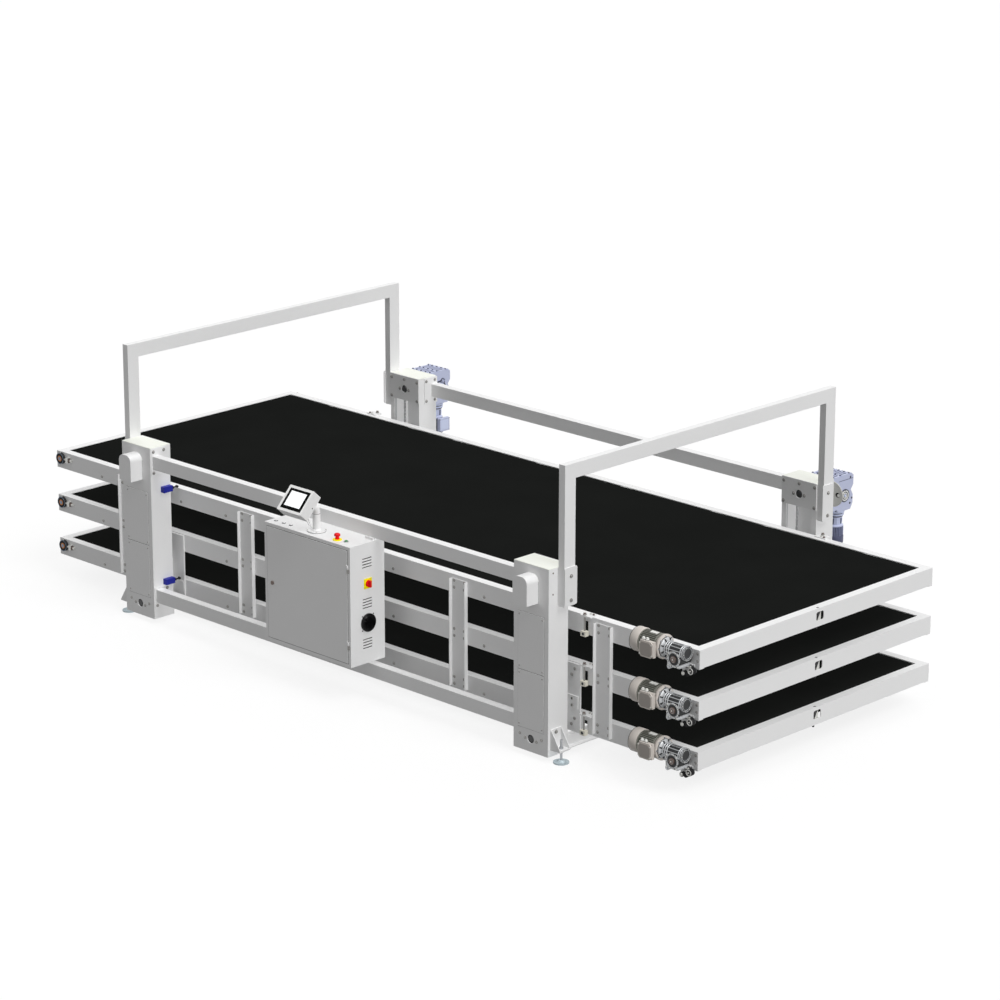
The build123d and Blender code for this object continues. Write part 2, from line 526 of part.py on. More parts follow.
# Limit switches on the front left column, with their roller levers
switch_x = -(COL_X - COL_W / 2)
lever_y = -(COL_IN - 3)
switch_bodies = []
for z, name in ((938.0, "upper"), (286.0, "lower")):
    body = box(switch_x, switch_x + 34, lever_y - 89, lever_y - 12, z - 20, z + 20)
    body += box(switch_x, switch_x + 14, lever_y - 13, lever_y, z - 11, z + 11)
    body += rod("x", 11, switch_x, switch_x + 14, lever_y, z) + rod("x", 3, switch_x + 13, switch_x + 30, lever_y, z)
    switch_bodies.append(body)
    lever = rod("x", 8, switch_x + 14.5, switch_x + 26, lever_y, z)
    lever += box(switch_x + 15, switch_x + 23, lever_y + 2, lever_y + 36, z - 4, z + 4)
    lever += rod("x", 9, switch_x + 12, switch_x + 27, lever_y + 36, z)
    lever -= rod("x", 3 + RUN_FIT, switch_x + 10, switch_x + 31, lever_y, z)
    save(f"limit_lever_{name}", lever)
save("limit_switch_bodies", switch_bodies)

# Control cabinet: box with front opening, louvres and openings for its fittings
cabinet = box(CAB_X0, CAB_X1, CAB_Y0, CAB_Y1, CAB_Z0, CAB_Z1)
cabinet -= box(CAB_X0 + CAB_T, CAB_X1 - CAB_T, CAB_Y0 + CAB_T, CAB_Y1 - CAB_T, CAB_Z0 + CAB_T, CAB_Z1 - CAB_T)
cabinet -= box(CAB_X0 + 35, CAB_X1 - 35, CAB_Y0 - 1, CAB_Y0 + CAB_T + 1, CAB_Z0 + 35, CAB_Z1 - 35)
for zc in (949.0, 680.0, 412.0):
    for k in range(4):
        z = zc + (k - 1.5) * 19
        cabinet -= box(CAB_X1 - 3, CAB_X1 + 1, LOUVRE_Y - 40, LOUVRE_Y + 40, z - 3, z + 3)
cabinet -= rod("x", 50, CAB_X1 - 3, CAB_X1 + 1, FAN_Y, FAN_Z)
cabinet -= rod("x", 8, CAB_X1 - 3, CAB_X1 + 1, SWITCH_Y, SWITCH_Z)
cabinet -= rod("z", 14, CAB_Z1 - 3, CAB_Z1 + 1, STOP_X, STOP_Y)
cabinet -= rod("z", 11, CAB_Z1 - 3, CAB_Z1 + 1, START_X, START_Y)
save("cabinet_box", cabinet)

block_y = (FRONT_BEAM_Y - 11, FRONT_BEAM_Y + 65)
blocks = [box(x, x + 68, *block_y, CAB_Z1, BEAM_Z[0]) for x in (CAB_X1 - 77, CAB_X0 + 9)]
low_beam_top = BEAM_Z[1] + BEAM_H
block_y = (FRONT_BEAM_Y + 7, FRONT_BEAM_Y + 65)
blocks += [box(x, x + 60, *block_y, low_beam_top, CAB_Z0) for x in (CAB_X1 - 183, CAB_X0 + 87)]
save("cabinet_blocks", blocks)

# Door with hinge knuckles and a quarter-turn lock
door_x0, door_x1 = CAB_X0 + 25, CAB_X1 - 25
door = box(door_x0, door_x1, CAB_Y0 - DOOR_GAP, CAB_Y0 - DOOR_GAP - 2.5, CAB_Z0 + 25, CAB_Z1 - 25)
hinge_x, hinge_y = door_x1 + 4, CAB_Y0 - 5
knuckles = []
for z in (932.0, 424.0):
    door += rod("z", 4, z + 1, z + 26, hinge_x, hinge_y)
    door += box(door_x1 - 12, hinge_x, CAB_Y0 - 2.8, CAB_Y0 - 4.8, z + 1, z + 26)
    pin = rod("z", 4, z - 26, z, hinge_x, hinge_y) + rod("z", 2, z - 1, z + 27, hinge_x, hinge_y)
    pin += box(hinge_x - 2, hinge_x + 12, CAB_Y0, CAB_Y0 - 4, z - 26, z)
    knuckles.append(pin)
    door -= rod("z", 2 + RUN_FIT, z - 2, z + 28, hinge_x, hinge_y)
LOCK_X, LOCK_Z = CAB_X0 + 73, CAB_Z0 + 402
door -= rod("y", 9 + RUN_FIT, CAB_Y0 - 4, CAB_Y0 + 1, LOCK_X, LOCK_Z)
save("cabinet_door", door)
lock = rod("y", 13, CAB_Y0 - 3.1, CAB_Y0 - 9, LOCK_X, LOCK_Z) + rod("y", 9, CAB_Y0 + 8, CAB_Y0 - 4, LOCK_X, LOCK_Z)
lock -= box(LOCK_X - 2, LOCK_X + 2, CAB_Y0 - 10, CAB_Y0 - 6, LOCK_Z - 9, LOCK_Z + 9)
lock += box(LOCK_X - 7, LOCK_X + 7, CAB_Y0 + 4, CAB_Y0 + 8, LOCK_Z - 9, LOCK_Z + 22)
save("door_lock", lock)

# Fittings on the cabinet: hinge halves, switch plate, stop button base, lamps, fan, post flange
fittings = list(knuckles)
plate = box(CAB_X1, CAB_X1 + 4, SWITCH_Y - 33, SWITCH_Y + 33, SWITCH_Z - 33, SWITCH_Z + 33)
fittings.append(plate - rod("x", 8, CAB_X1 - 1, CAB_X1 + 5, SWITCH_Y, SWITCH_Z))
base = rod("z", 30, CAB_Z1, CAB_Z1 + 5, STOP_X, STOP_Y) + rod("z", 13.9, CAB_Z1 - 30, CAB_Z1 + 16, STOP_X, STOP_Y)
fittings.append(base - rod("z", 9 + RUN_FIT, CAB_Z1 - 31, CAB_Z1 + 17, STOP_X, STOP_Y))
bezel = rod("z", 15, CAB_Z1, CAB_Z1 + 5, START_X, START_Y) + rod("z", 10.9, CAB_Z1 - 25, CAB_Z1 + 1, START_X, START_Y)
fittings.append(bezel - rod("z", 9.5 + RUN_FIT, CAB_Z1 - 26, CAB_Z1 + 6, START_X, START_Y))
for x in (-290.0, -216.0, -150.0):
    fittings.append(rod("z", 9, CAB_Z1, CAB_Z1 + 5, x, STOP_Y))
fan = rod("x", 60, CAB_X1, CAB_X1 + 16, FAN_Y, FAN_Z) - rod("x", 50, CAB_X1 - 1, CAB_X1 + 12, FAN_Y, FAN_Z)
fan = fillet(fan.edges().filter_by(GeomType.CIRCLE).group_by(Axis.X)[-1], 5)
for k in range(5):
    fan -= box(CAB_X1 + 11, CAB_X1 + 17, FAN_Y - 40, FAN_Y + 40, FAN_Z - 34 + k * 16, FAN_Z - 30 + k * 16)
fittings.append(fan)
fittings.append(rod("z", 60, CAB_Z1, CAB_Z1 + 8, HMI_X, HMI_Y))
board = box(CAB_X0 + 37, CAB_X1 - 43, CAB_Y1 - 24, CAB_Y1 - 22, CAB_Z0 + 51, CAB_Z1 - 49)
for x in (CAB_X0 + 57, CAB_X1 - 63):
    for z in (CAB_Z0 + 71, CAB_Z1 - 69):
        board += rod("y", 6, CAB_Y1 - 22, CAB_Y1 - CAB_T, x, z)
fittings.append(board)
save("cabinet_fittings", fittings)

knob = rod("x", 22, CAB_X1 + 4.3, CAB_X1 + 14, SWITCH_Y, SWITCH_Z)
knob += box(CAB_X1 + 14, CAB_X1 + 30, SWITCH_Y - 7, SWITCH_Y + 7, SWITCH_Z - 22, SWITCH_Z + 22)
save("main_switch_knob", knob + rod("x", 7.5, CAB_X1 - 20, CAB_X1 + 5, SWITCH_Y, SWITCH_Z))

stop = rod("z", 20, CAB_Z1 + 28, CAB_Z1 + 38, STOP_X, STOP_Y) + Pos(STOP_X, STOP_Y, CAB_Z1 + 25) * Cone(13, 20, 6)
stop += Pos(STOP_X, STOP_Y, CAB_Z1 + 40.5) * Cone(20, 14, 5)
save("stop_button", stop + rod("z", 9, CAB_Z1 - 24, CAB_Z1 + 28, STOP_X, STOP_Y))
save("start_button", rod("z", 9.5, CAB_Z1 - 20, CAB_Z1 + 10, START_X, START_Y))

# Screen post with its arm, and the tilting screen head
tilt = math.radians(HMI_TILT)
axis_y = HMI_CENTRE[1] + HMI_ARM * math.cos(tilt)
axis_z = HMI_CENTRE[2] - HMI_ARM * math.sin(tilt)
post = rod("z", 25, CAB_Z1 + 8.3, axis_z, HMI_X, HMI_Y) + Pos(HMI_X, HMI_Y, axis_z) * Sphere(25)
post += rod("y", 19, HMI_Y, axis_y + 22, HMI_X, axis_z)
post += box(HMI_X - 14, HMI_X + 14, axis_y, axis_y + 30, axis_z - 14, axis_z + 14)
post += rod("x", 14, HMI_X - 14, HMI_X + 14, axis_y, axis_z)
post += rod("x", 6, HMI_X - 30, HMI_X + 30, axis_y, axis_z)
save("screen_post", post)

# The head is drawn upright about its own centre, with two lugs around the pin, and tilted back
head = Box(222, HMI_D, 181)
head = fillet(head.edges().filter_by(Axis.Y), 6)
head -= Pos(0, -HMI_D / 2, 0) * Box(186, 4, 146)
for s in (-1, 1):
    head += box(s * 14.4, s * 29, HMI_D / 2 - 1, HMI_ARM, -15, 15) + rod("x", 15, s * 14.4, s * 29, HMI_ARM, 0)
head -= rod("x", 6 + RUN_FIT, -40, 40, HMI_ARM, 0)
save("screen_head", Pos(*HMI_CENTRE) * Rot(-HMI_TILT, 0, 0) * head)

# Bolts of the stand
bolts = []
for sx, sy in CORNERS:
    xc = sx * COL_X
    y_face = sy * (COL_IN - PLATE_T)
    edge = COL_W / 2 - 16
    for dx, z in ((-edge, 1213), (edge, 1213), (-edge, 1075), (edge, 1075), (0, 1215), (-45, 1141), (45, 1141)):
        bolts.append(hexagon("y", 9, y_face, y_face - sy * 7, xc + dx, z))
    y_face = sy * COL_OUT
    for dx, z in ((-48, 117), (48, 111), (-92, 136), (92, 134)):
        bolts.append(hexagon("y", 8, y_face, y_face + sy * 6, xc + dx, z))
    x_face = sx * (ARCH_X + ARCH_T + 5)
    for z in (1185, 1032):
        bolts.append(hexagon("x", 10, x_face, x_face + sx * 8, sy * (COL_IN + 40), z))
    x_face = sx * (COL_X + COL_W / 2 + PLATE_T)
    bolts.append(hexagon("x", 10, x_face, x_face + sx * 8, sy * FOOT_Y, 190))
    if sy < 0:
        for z0, z1 in PANELS:
            for dx in (12 - PANEL_HALF, PANEL_HALF - 12):
                for z in (z0 + 20, z1 - 20):
                    bolts.append(rod("y", 5, -COL_OUT - 2, -COL_OUT - 5, xc + dx, z))
    x_face = sx * (COL_X - COL_W / 2 - END_PLATE_T)
    y_far, y_near = (24 - COL_OUT, -57 - COL_IN) if sy < 0 else (COL_OUT - 17, COL_IN + 69)
    for y, z in ((y_far, 1213), (y_near, 1213), (y_far, 1066), (y_near, 1066), (y_far, 130), (y_near, 130), (y_near, 238)):
        bolts.append(hexagon("x", 9, x_face, x_face - sx * 7, y, z))
save("stand_bolts", bolts)

# Bolts of the carriage
bolts = []
for sy in (-1, 1):
    y_face = sy * (SIDE_Y + 5)
    for x in TIE_X:
        for top in DECK_TOPS:
            for dx in (-45, 45):
                for dz in (38, 84):
                    bolts.append(hexagon("y", 8, y_face, y_face + sy * 6, x + dx, top - dz))
    for top in DECK_TOPS:
        for x in CROSS_X:
            if top < DECK_TOPS[0] and abs(abs(x) - COL_X) < 210:
                continue
            bolts.append(hexagon("y", 8, sy * SIDE_Y, sy * (SIDE_Y + 6), x, top - 91))
        for dy, dz in ((0, 24), (0, 70)):
            bolts.append(hexagon("y", 7, sy * SIDE_Y, sy * (SIDE_Y + 5), DECK_L / 2 - 16, top - dz))
    for sx in (-1, 1):
        xc = sx * COL_X
        y_face = sy * (SIDE_Y + 10)
        for s in (-1, 1):
            for dx, z in ((155, 557), (130, 515), (155, 236), (130, 194)):
                if sx * s > 0 or sy > 0 or sx > 0:
                    bolts.append(hexagon("y", 8, y_face, y_face + sy * 6, xc + s * dx, z))
        for z in (365, 320):
            bolts.append(rod("y", 9, y_face + sy * 6, y_face + sy * 12, xc + sx * 140, z))
save("carriage_bolts", bolts)
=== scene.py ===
import math
import bpy
import bmesh
from mathutils import Matrix, Vector


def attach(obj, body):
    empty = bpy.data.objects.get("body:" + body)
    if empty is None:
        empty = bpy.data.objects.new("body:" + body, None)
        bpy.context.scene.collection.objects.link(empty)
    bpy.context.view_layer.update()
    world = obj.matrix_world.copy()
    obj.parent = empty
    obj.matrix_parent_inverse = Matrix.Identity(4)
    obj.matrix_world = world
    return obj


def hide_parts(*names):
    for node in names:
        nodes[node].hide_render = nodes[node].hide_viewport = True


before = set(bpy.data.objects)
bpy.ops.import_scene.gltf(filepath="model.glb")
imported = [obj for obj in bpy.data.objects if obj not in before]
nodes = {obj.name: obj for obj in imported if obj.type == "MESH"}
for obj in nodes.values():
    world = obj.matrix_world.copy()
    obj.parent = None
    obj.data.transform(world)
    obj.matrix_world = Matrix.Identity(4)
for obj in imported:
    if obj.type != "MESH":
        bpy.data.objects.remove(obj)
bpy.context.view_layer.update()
scene = bpy.context.scene

# Places and sizes of the part in millimetres
MM = 0.001
SIDE_Y = 1107.5
DECK_TOPS = (918.0, 598.0, 278.0)
AXIS_DROP, DRIVE_X, TAIL_X = 47, 2904, -2948
TRACK_X, TRACK_DROP = 2090, 109.45
CORNERS = [(-1, -1), (1, -1), (-1, 1), (1, 1)]
COL_X, COL_IN, COL_OUT, COL_SIDE, CHAIN_Y = 1848, 1171, 1342, 1994, 1235
COLUMN_PANELS = ((181, 551), (555, 927))
CAB_FRONT, CAB_SIDE, CAB_TOP = -1543, 463, 1079
DOOR_X, DOOR_Z = (-312, 438), (304, 1054)
FAN_Y, FAN_Z, SWITCH_Y, SWITCH_Z = -1394, 551, -1392, 811
LOUVRE_Y, LOUVRE_ROWS = -1397, (949, 680, 412)
LAMP_X, LAMP_Y = (-290, -216, -150), -1484
STOP_X, STOP_Y, START_X, START_Y = 285, -1484, 356, -1474
POST_X, POST_Y, POST_R = 56, -1449, 25
SCREEN_CENTRE = (56, -1599, 1297)
SCREEN_TILT = math.radians(42.5)

# Camera: the photograph's viewpoint, with angles in degrees and lengths in metres
CAMERA_AZIMUTH, CAMERA_ELEVATION, CAMERA_ROLL = 44.475, 17.006, 0.088
CAMERA_PLACE = (15.93385, -15.95882, 7.85519)
FOCAL_PIXELS, PHOTO_PIXELS, SENSOR_WIDTH = 3544.9, 1000, 36


def set_camera():
    az, el, roll = (math.radians(a) for a in (CAMERA_AZIMUTH, CAMERA_ELEVATION, CAMERA_ROLL))
    back = Vector((math.sin(az) * math.cos(el), -math.cos(az) * math.cos(el), math.sin(el)))
    right = (-back).cross(Vector((0, 0, 1))).normalized()
    up = right.cross(-back)
    rolled_right = right * math.cos(roll) + up * math.sin(roll)
    rolled_up = up * math.cos(roll) - right * math.sin(roll)
    cam = bpy.data.objects.new("camera", bpy.data.cameras.new("camera"))
    scene.collection.objects.link(cam)
    cam.data.sensor_width = SENSOR_WIDTH
    cam.data.lens = FOCAL_PIXELS / PHOTO_PIXELS * SENSOR_WIDTH
    cam.data.clip_start, cam.data.clip_end = 0.5, 400
    matrix = Matrix((rolled_right, rolled_up, back)).transposed().to_4x4()
    matrix.translation = Vector(CAMERA_PLACE)
    cam.matrix_world = matrix
    scene.camera = cam


set_camera()
scene.view_settings.view_transform = "Standard"


# Materials
def linear(c):
    return c / 12.92 if c <= 0.04045 else ((c + 0.055) / 1.055) ** 2.4


def srgb(r, g, b):
    return (linear(r / 255), linear(g / 255), linear(b / 255), 1.0)


def node(tree, kind, **values):
    made = tree.nodes.new(kind)
    for key, value in values.items():
        if key in made.inputs:
            made.inputs[key].default_value = value
        else:
            setattr(made, key, value)
    return made


def material(name, rgb, rough=0.5, metal=0.0, spec=0.5, grain=220.0, vary=0.035, bump=0.15, height=0.0002,
             stretch=(1, 1, 1), coat=0.0):
    """Surface with a fine grain, broad soft blotches in its colour and gloss, and a small bump."""
    mat = bpy.data.materials.new(name)
    mat.use_nodes = True
    tree = mat.node_tree
    shader = tree.nodes["Principled BSDF"]
    shader.inputs["Metallic"].default_value = metal
    shader.inputs["Specular IOR Level"].default_value = spec
    shader.inputs["Coat Weight"].default_value = coat
    coords = node(tree, "ShaderNodeTexCoord")
    scale = node(tree, "ShaderNodeVectorMath", operation="MULTIPLY")
    scale.inputs[1].default_value = stretch
    fine = node(tree, "ShaderNodeTexNoise", Scale=grain, Detail=5.0, Roughness=0.6)
    broad = node(tree, "ShaderNodeTexNoise", Scale=3.0, Detail=3.0, Roughness=0.5)
    link = tree.links.new
    link(coords.outputs["Object"], scale.inputs[0])
    link(scale.outputs[0], fine.inputs["Vector"])
    link(coords.outputs["Object"], broad.inputs["Vector"])
    mixed = node(tree, "ShaderNodeMath", operation="ADD")
    link(fine.outputs["Fac"], mixed.inputs[0])
    link(broad.outputs["Fac"], mixed.inputs[1])
    ramp = node(tree, "ShaderNodeMapRange")
    ramp.inputs["From Min"].default_value = 0.6
    ramp.inputs["From Max"].default_value = 1.4
    link(mixed.outputs[0], ramp.inputs["Value"])
    colour = node(tree, "ShaderNodeMix", data_type="RGBA")
    colour.inputs["A"].default_value = tuple(max(0.0, c * (1 - vary)) for c in rgb[:3]) + (1,)
    colour.inputs["B"].default_value = tuple(min(1.0, c * (1 + vary)) for c in rgb[:3]) + (1,)
    link(ramp.outputs["Result"], colour.inputs["Factor"])
    link(colour.outputs["Result"], shader.inputs["Base Color"])
    gloss = node(tree, "ShaderNodeMapRange")
    gloss.inputs["To Min"].default_value = max(0.02, rough * 0.88)
    gloss.inputs["To Max"].default_value = min(1.0, rough * 1.12)
    link(broad.outputs["Fac"], gloss.inputs["Value"])
    link(gloss.outputs["Result"], shader.inputs["Roughness"])
    relief = node(tree, "ShaderNodeBump", Strength=bump, Distance=height)
    link(fine.outputs["Fac"], relief.inputs["Height"])
    link(relief.outputs["Normal"], shader.inputs["Normal"])
    return mat


PAINT = srgb(236, 236, 236)
M = {
    "paint": material("machine_paint", PAINT, 0.42, grain=260, vary=0.02, bump=0.12),
    "deck": material("deck_paint", PAINT, 0.40, grain=260, vary=0.02, bump=0.12),
    "plate": material("laser_cut_plate", srgb(232, 232, 232), 0.45, grain=180, vary=0.03, bump=0.15),
    "cap": material("ivory_cap", srgb(239, 241, 232), 0.45, grain=240, vary=0.012, bump=0.08),
    "belt": material("belt_rubber", srgb(28, 29, 28), 0.9, spec=0.0, grain=700, vary=0.10, bump=0.35,
                     height=0.0003),
    "belt_edge": material("belt_edge", srgb(22, 23, 22), 0.9, spec=0.0, grain=400, vary=0.15, bump=0.3),
    "sheet": material("bed_sheet", srgb(190, 192, 194), 0.35, metal=0.9, grain=60, vary=0.05,
                      stretch=(1, 14, 14)),
    "roller": material("roller_steel", srgb(178, 181, 185), 0.28, metal=1.0, grain=90, vary=0.06,
                       stretch=(8, 1, 8)),
    "shaft": material("shaft_steel", srgb(66, 67, 68), 0.45, metal=0.4, grain=120, vary=0.07,
                      stretch=(8, 1, 8)),
    "steel": material("bright_steel", srgb(170, 172, 176), 0.33, metal=1.0, grain=150, vary=0.06, bump=0.2),
    "zinc": material("zinc_bolts", srgb(150, 149, 146), 0.4, metal=0.5, grain=320, vary=0.09, bump=0.2),
    "chain": material("chain_steel", srgb(206, 207, 208), 0.45, metal=0.2, grain=300, vary=0.12, bump=0.3),
    "rail": material("guide_rail", srgb(196, 198, 200), 0.35, metal=0.4, grain=80, vary=0.05,
                     stretch=(6, 6, 1)),
    "shoe": material("guide_shoe", srgb(40, 96, 66), 0.55, grain=160, vary=0.08, bump=0.25),
    "iron": material("black_iron", srgb(30, 30, 32), 0.5, spec=0.3, grain=140, vary=0.15, bump=0.5,
                     height=0.0004),
    "black": material("black_plastic", srgb(26, 26, 28), 0.45, spec=0.4, grain=300, vary=0.12, bump=0.25),
    "rubber": material("pad_rubber", srgb(22, 22, 23), 0.75, spec=0.2, grain=200, vary=0.15, bump=0.4),
    "pad": material("foot_zinc", srgb(192, 206, 212), 0.45, metal=0.15, grain=220, vary=0.07, bump=0.2),
    "beige": material("motor_beige", srgb(206, 199, 192), 0.45, grain=160, vary=0.03, bump=0.25,
                      height=0.0003),
    "fins": material("motor_green_grey", srgb(128, 128, 120), 0.48, grain=160, vary=0.06, bump=0.4,
                     height=0.0003),
    "lid": material("motor_lid", srgb(160, 153, 147), 0.5, grain=160, vary=0.04, bump=0.25),
    "cast": material("cast_silver", srgb(196, 198, 200), 0.42, metal=0.35, grain=90, vary=0.10, bump=0.7,
                     height=0.0006),
    "cast_dark": material("cast_shadowed", srgb(70, 72, 74), 0.5, metal=0.35, grain=90, vary=0.12, bump=0.7,
                          height=0.0006),
    "lift": material("lift_blue", srgb(190, 196, 222), 0.45, grain=120, vary=0.05, bump=0.5, height=0.0005),
    # lift_dark and lift_deep are darker copies of the lift blue: painted shade where they fill a core, groove
    # or gap of the lift gearmotors
    "lift_dark": material("lift_dark_blue", srgb(74, 78, 104), 0.5, grain=120, vary=0.08, bump=0.5,
                          height=0.0005),
    "blue": material("switch_blue", srgb(30, 38, 148), 0.5, spec=0.3, grain=220, vary=0.06, bump=0.25),
    "brass": material("switch_neck", srgb(176, 150, 84), 0.38, metal=0.8, grain=220, vary=0.07, bump=0.2),
    "red": material("signal_red", srgb(232, 24, 32), 0.5, spec=0.2, grain=260, vary=0.04, bump=0.1),
    "yellow": material("signal_yellow", srgb(250, 240, 2), 0.45, spec=0.12, grain=260, vary=0.04, bump=0.12),
    "green": material("signal_green", srgb(44, 138, 70), 0.35, grain=260, vary=0.06, bump=0.12),
    "case": material("screen_case", srgb(232, 232, 232), 0.36, grain=300, vary=0.02, bump=0.12),
    # Painted light: the screen's front face whiter than its case
    "lit_case_front": material("screen_front", srgb(253, 253, 252), 0.36, grain=300, vary=0.01, bump=0.1),
    "glass": material("screen_glass", srgb(238, 240, 242), 0.12, grain=20, vary=0.01, bump=0.02, coat=0.6),
    "white": material("white_label", srgb(232, 232, 228), 0.5, grain=200, vary=0.02, bump=0.1),
    "copper": material("tail_ring", srgb(160, 104, 62), 0.4, metal=0.8, grain=200, vary=0.08, bump=0.2),
    "bright": material("bright_zinc", srgb(206, 206, 202), 0.36, metal=0.5, grain=260, vary=0.05, bump=0.2),
    "ivory": material("ivory_block", srgb(228, 224, 210), 0.45, grain=200, vary=0.03, bump=0.2),
    # The deck motor's body between its fins: darker green as painted shade
    "fin_gap_shade": material("motor_green_shade", srgb(72, 76, 68), 0.55, grain=160, vary=0.08, bump=0.4),
    # cast_deep is painted shade where it fills a pocket, gap, core, hole, socket or vent
    "cast_deep": material("deep_grey", srgb(46, 47, 48), 0.5, spec=0.3, grain=200, vary=0.12, bump=0.3),
    "sleeve": material("bronze_sleeve", srgb(122, 106, 98), 0.42, metal=0.4, grain=200, vary=0.08, bump=0.2),
    "shaft_end": material("shaft_end", srgb(112, 98, 92), 0.45, metal=0.4, grain=200, vary=0.08, bump=0.2),
    # lift_lid is a lighter copy of the lift blue: painted highlight where it stands on the upright motor's
    # flanges and tabs
    "lift_lid": material("lift_lid", srgb(206, 214, 240), 0.4, grain=140, vary=0.03, bump=0.2),
    "gloss_black": material("gloss_black", srgb(7, 7, 8), 0.2, spec=0.22, grain=300, vary=0.1, bump=0.05),
    "chain_roller": material("chain_roller", srgb(216, 217, 218), 0.4, metal=0.25, grain=300, vary=0.08,
                             bump=0.2),
    # Painted shadow: dark strips and rings round the door, panels, hoods, lamps, the post and its elbow
    "seam_shade": material("seam_shadow", srgb(86, 86, 86), 0.7, spec=0.2, grain=260, vary=0.05, bump=0.2),
    "torque": material("torque_plate", srgb(192, 192, 189), 0.5, grain=120, vary=0.04, bump=0.2),
    "lift_deep": material("lift_deep_blue", srgb(48, 50, 68), 0.5, grain=120, vary=0.12, bump=0.5,
                          height=0.0005),
    "lift_fins": material("lift_fins", srgb(142, 148, 178), 0.5, grain=90, vary=0.22, bump=0.6,
                          height=0.0006),
    "slate": material("slate_shaft", srgb(110, 124, 140), 0.35, metal=0.8, grain=200, vary=0.06, bump=0.2),
}

NODE_MATERIAL = {
    "front_columns": "paint", "rear_columns": "paint", "column_caps": "cap", "bearing_plates": "plate",
    "shaft_bearings": "iron", "guide_rails": "rail", "lift_chains": "chain", "levelling_feet": "pad",
    "column_covers": "paint", "front_beams": "paint", "rear_beams": "paint", "base_channels": "paint",
    "portal_arches": "paint", "stand_brackets": "plate", "stand_bolts": "zinc", "lift_gearmotors": "lift",
    "limit_switch_bodies": "blue", "cabinet_box": "paint", "cabinet_blocks": "plate",
    "cabinet_fittings": "steel", "deck_frames": "deck", "slider_beds": "sheet", "deck_belts": "belt",
    "roller_bearings": "iron",
    "belt_adjusters": "bright", "deck_gearmotors": "cast", "deck_sensors": "black", "tie_channels": "plate",
    "carriage_plates": "plate", "carriage_arms": "plate", "guide_shoes": "shoe", "carriage_bolts": "zinc",
    "cabinet_door": "paint", "door_lock": "shaft_end", "main_switch_knob": "red", "stop_button": "red",
    "start_button": "green", "screen_post": "case", "screen_head": "case", "limit_lever_upper": "black",
    "limit_lever_lower": "black",
}


def shade(name, material_name, *rules):
    """Gives a CAD node its material, and faces that a rule picks by their middle, in metres, another one."""
    obj = nodes[name]
    obj.data.materials.clear()
    obj.data.materials.append(M[material_name])
    for index, (other, test) in enumerate(rules, 1):
        obj.data.materials.append(M[other])
        for face in obj.data.polygons:
            if test(face.center):
                face.material_index = index


def near(value, reach, *places):
    """Whether a value in metres is within reach of one of the places, these and the reach in millimetres."""
    return min(abs(value - place * MM) for place in places) < reach * MM


def at_decks(drop):
    """Heights at each deck, a drop below its top."""
    return [top - drop for top in DECK_TOPS]


def on_cabinet_side(c):
    return c.x > (CAB_SIDE - 0.1) * MM


def on_cabinet_top(c, x, y, reach, low=-0.5, high=100.0):
    """Whether a point is within reach of x and y and between two heights above the cabinet's top."""
    return near(c.x, reach, x) and near(c.y, reach, y) and low * MM < c.z - CAB_TOP * MM < high * MM


def screen_depth(c):
    """Distance of a point behind the screen's middle along the screen's own axis, in metres."""
    y, z = c.y - SCREEN_CENTRE[1] * MM, c.z - SCREEN_CENTRE[2] * MM
    return y * math.cos(SCREEN_TILT) - z * math.sin(SCREEN_TILT)


glass = M["glass"].node_tree.nodes["Principled BSDF"]
glass.inputs["Emission Color"].default_value = (1, 1, 1, 1)
glass.inputs["Emission Strength"].default_value = 0.4

for name in nodes:
    kind = NODE_MATERIAL.get(name) or ("roller" if "roller" in name else "shaft")
    shade(name, kind)

# Limit switches: the neck, its end and the spindle black; the brass rule for the neck comes first and the
# black rule covers its faces
neck_x, neck_y = -1.6885, -1.1801
shade("limit_switch_bodies", "blue",
      ("brass", lambda c: c.y > neck_y and c.x < neck_x),
      ("black", lambda c: c.y > neck_y))
# Stems and nuts above the round foot pads
pad_top = 0.0215
shade("levelling_feet", "pad", ("steel", lambda c: c.z > pad_top))
# Hangers of the tracking rollers, less than 2.2 m from the middle: bracket, bearing block, screw
hanger_x = 2.2
shade("belt_adjusters", "bright",
      ("plate", lambda c: abs(c.x) < hanger_x and near(c.z, 4.1, *at_decks(-4))),
      ("ivory", lambda c: abs(c.x) < hanger_x and near(c.z, 16.1, *at_decks(109.4))),
      ("zinc", lambda c: abs(c.x) < hanger_x and near(c.z, 42, *at_decks(48))))
# Hinge halves, switch plate, stop button's base and sleeve, fan, post flange, start button's bezel
shade("cabinet_fittings", "steel",
      ("zinc", lambda c: c.x > 0.43 and c.y < (CAB_FRONT + 1) * MM),
      ("yellow", lambda c: on_cabinet_side(c) and near(c.z, 41, SWITCH_Z)),
      ("yellow", lambda c: on_cabinet_top(c, STOP_X, STOP_Y, 40, high=5.5)),
      ("red", lambda c: on_cabinet_top(c, STOP_X, STOP_Y, 16, low=5.6)),
      ("gloss_black", lambda c: on_cabinet_side(c) and near(c.z, 65, FAN_Z)),
      ("case", lambda c: on_cabinet_top(c, POST_X, POST_Y, 70)),
      ("steel", lambda c: on_cabinet_top(c, START_X, START_Y, 30)))
# The screen's front face, whiter than its case as painted light, the bright eye of each deck's sensor, the
# tail rollers' journals
screen_front, sensor_x, journal_y = -0.0372, 2.9885, 1.106
shade("screen_head", "case", ("lit_case_front", lambda c: screen_depth(c) < screen_front))
shade("deck_sensors", "black", ("bright", lambda c: c.x > sensor_x and near(c.z, 31, *at_decks(89))))
for deck in ("top", "middle", "bottom"):
    shade(f"tail_roller_{deck}", "roller", ("slate", lambda c: abs(c.y) > journal_y))

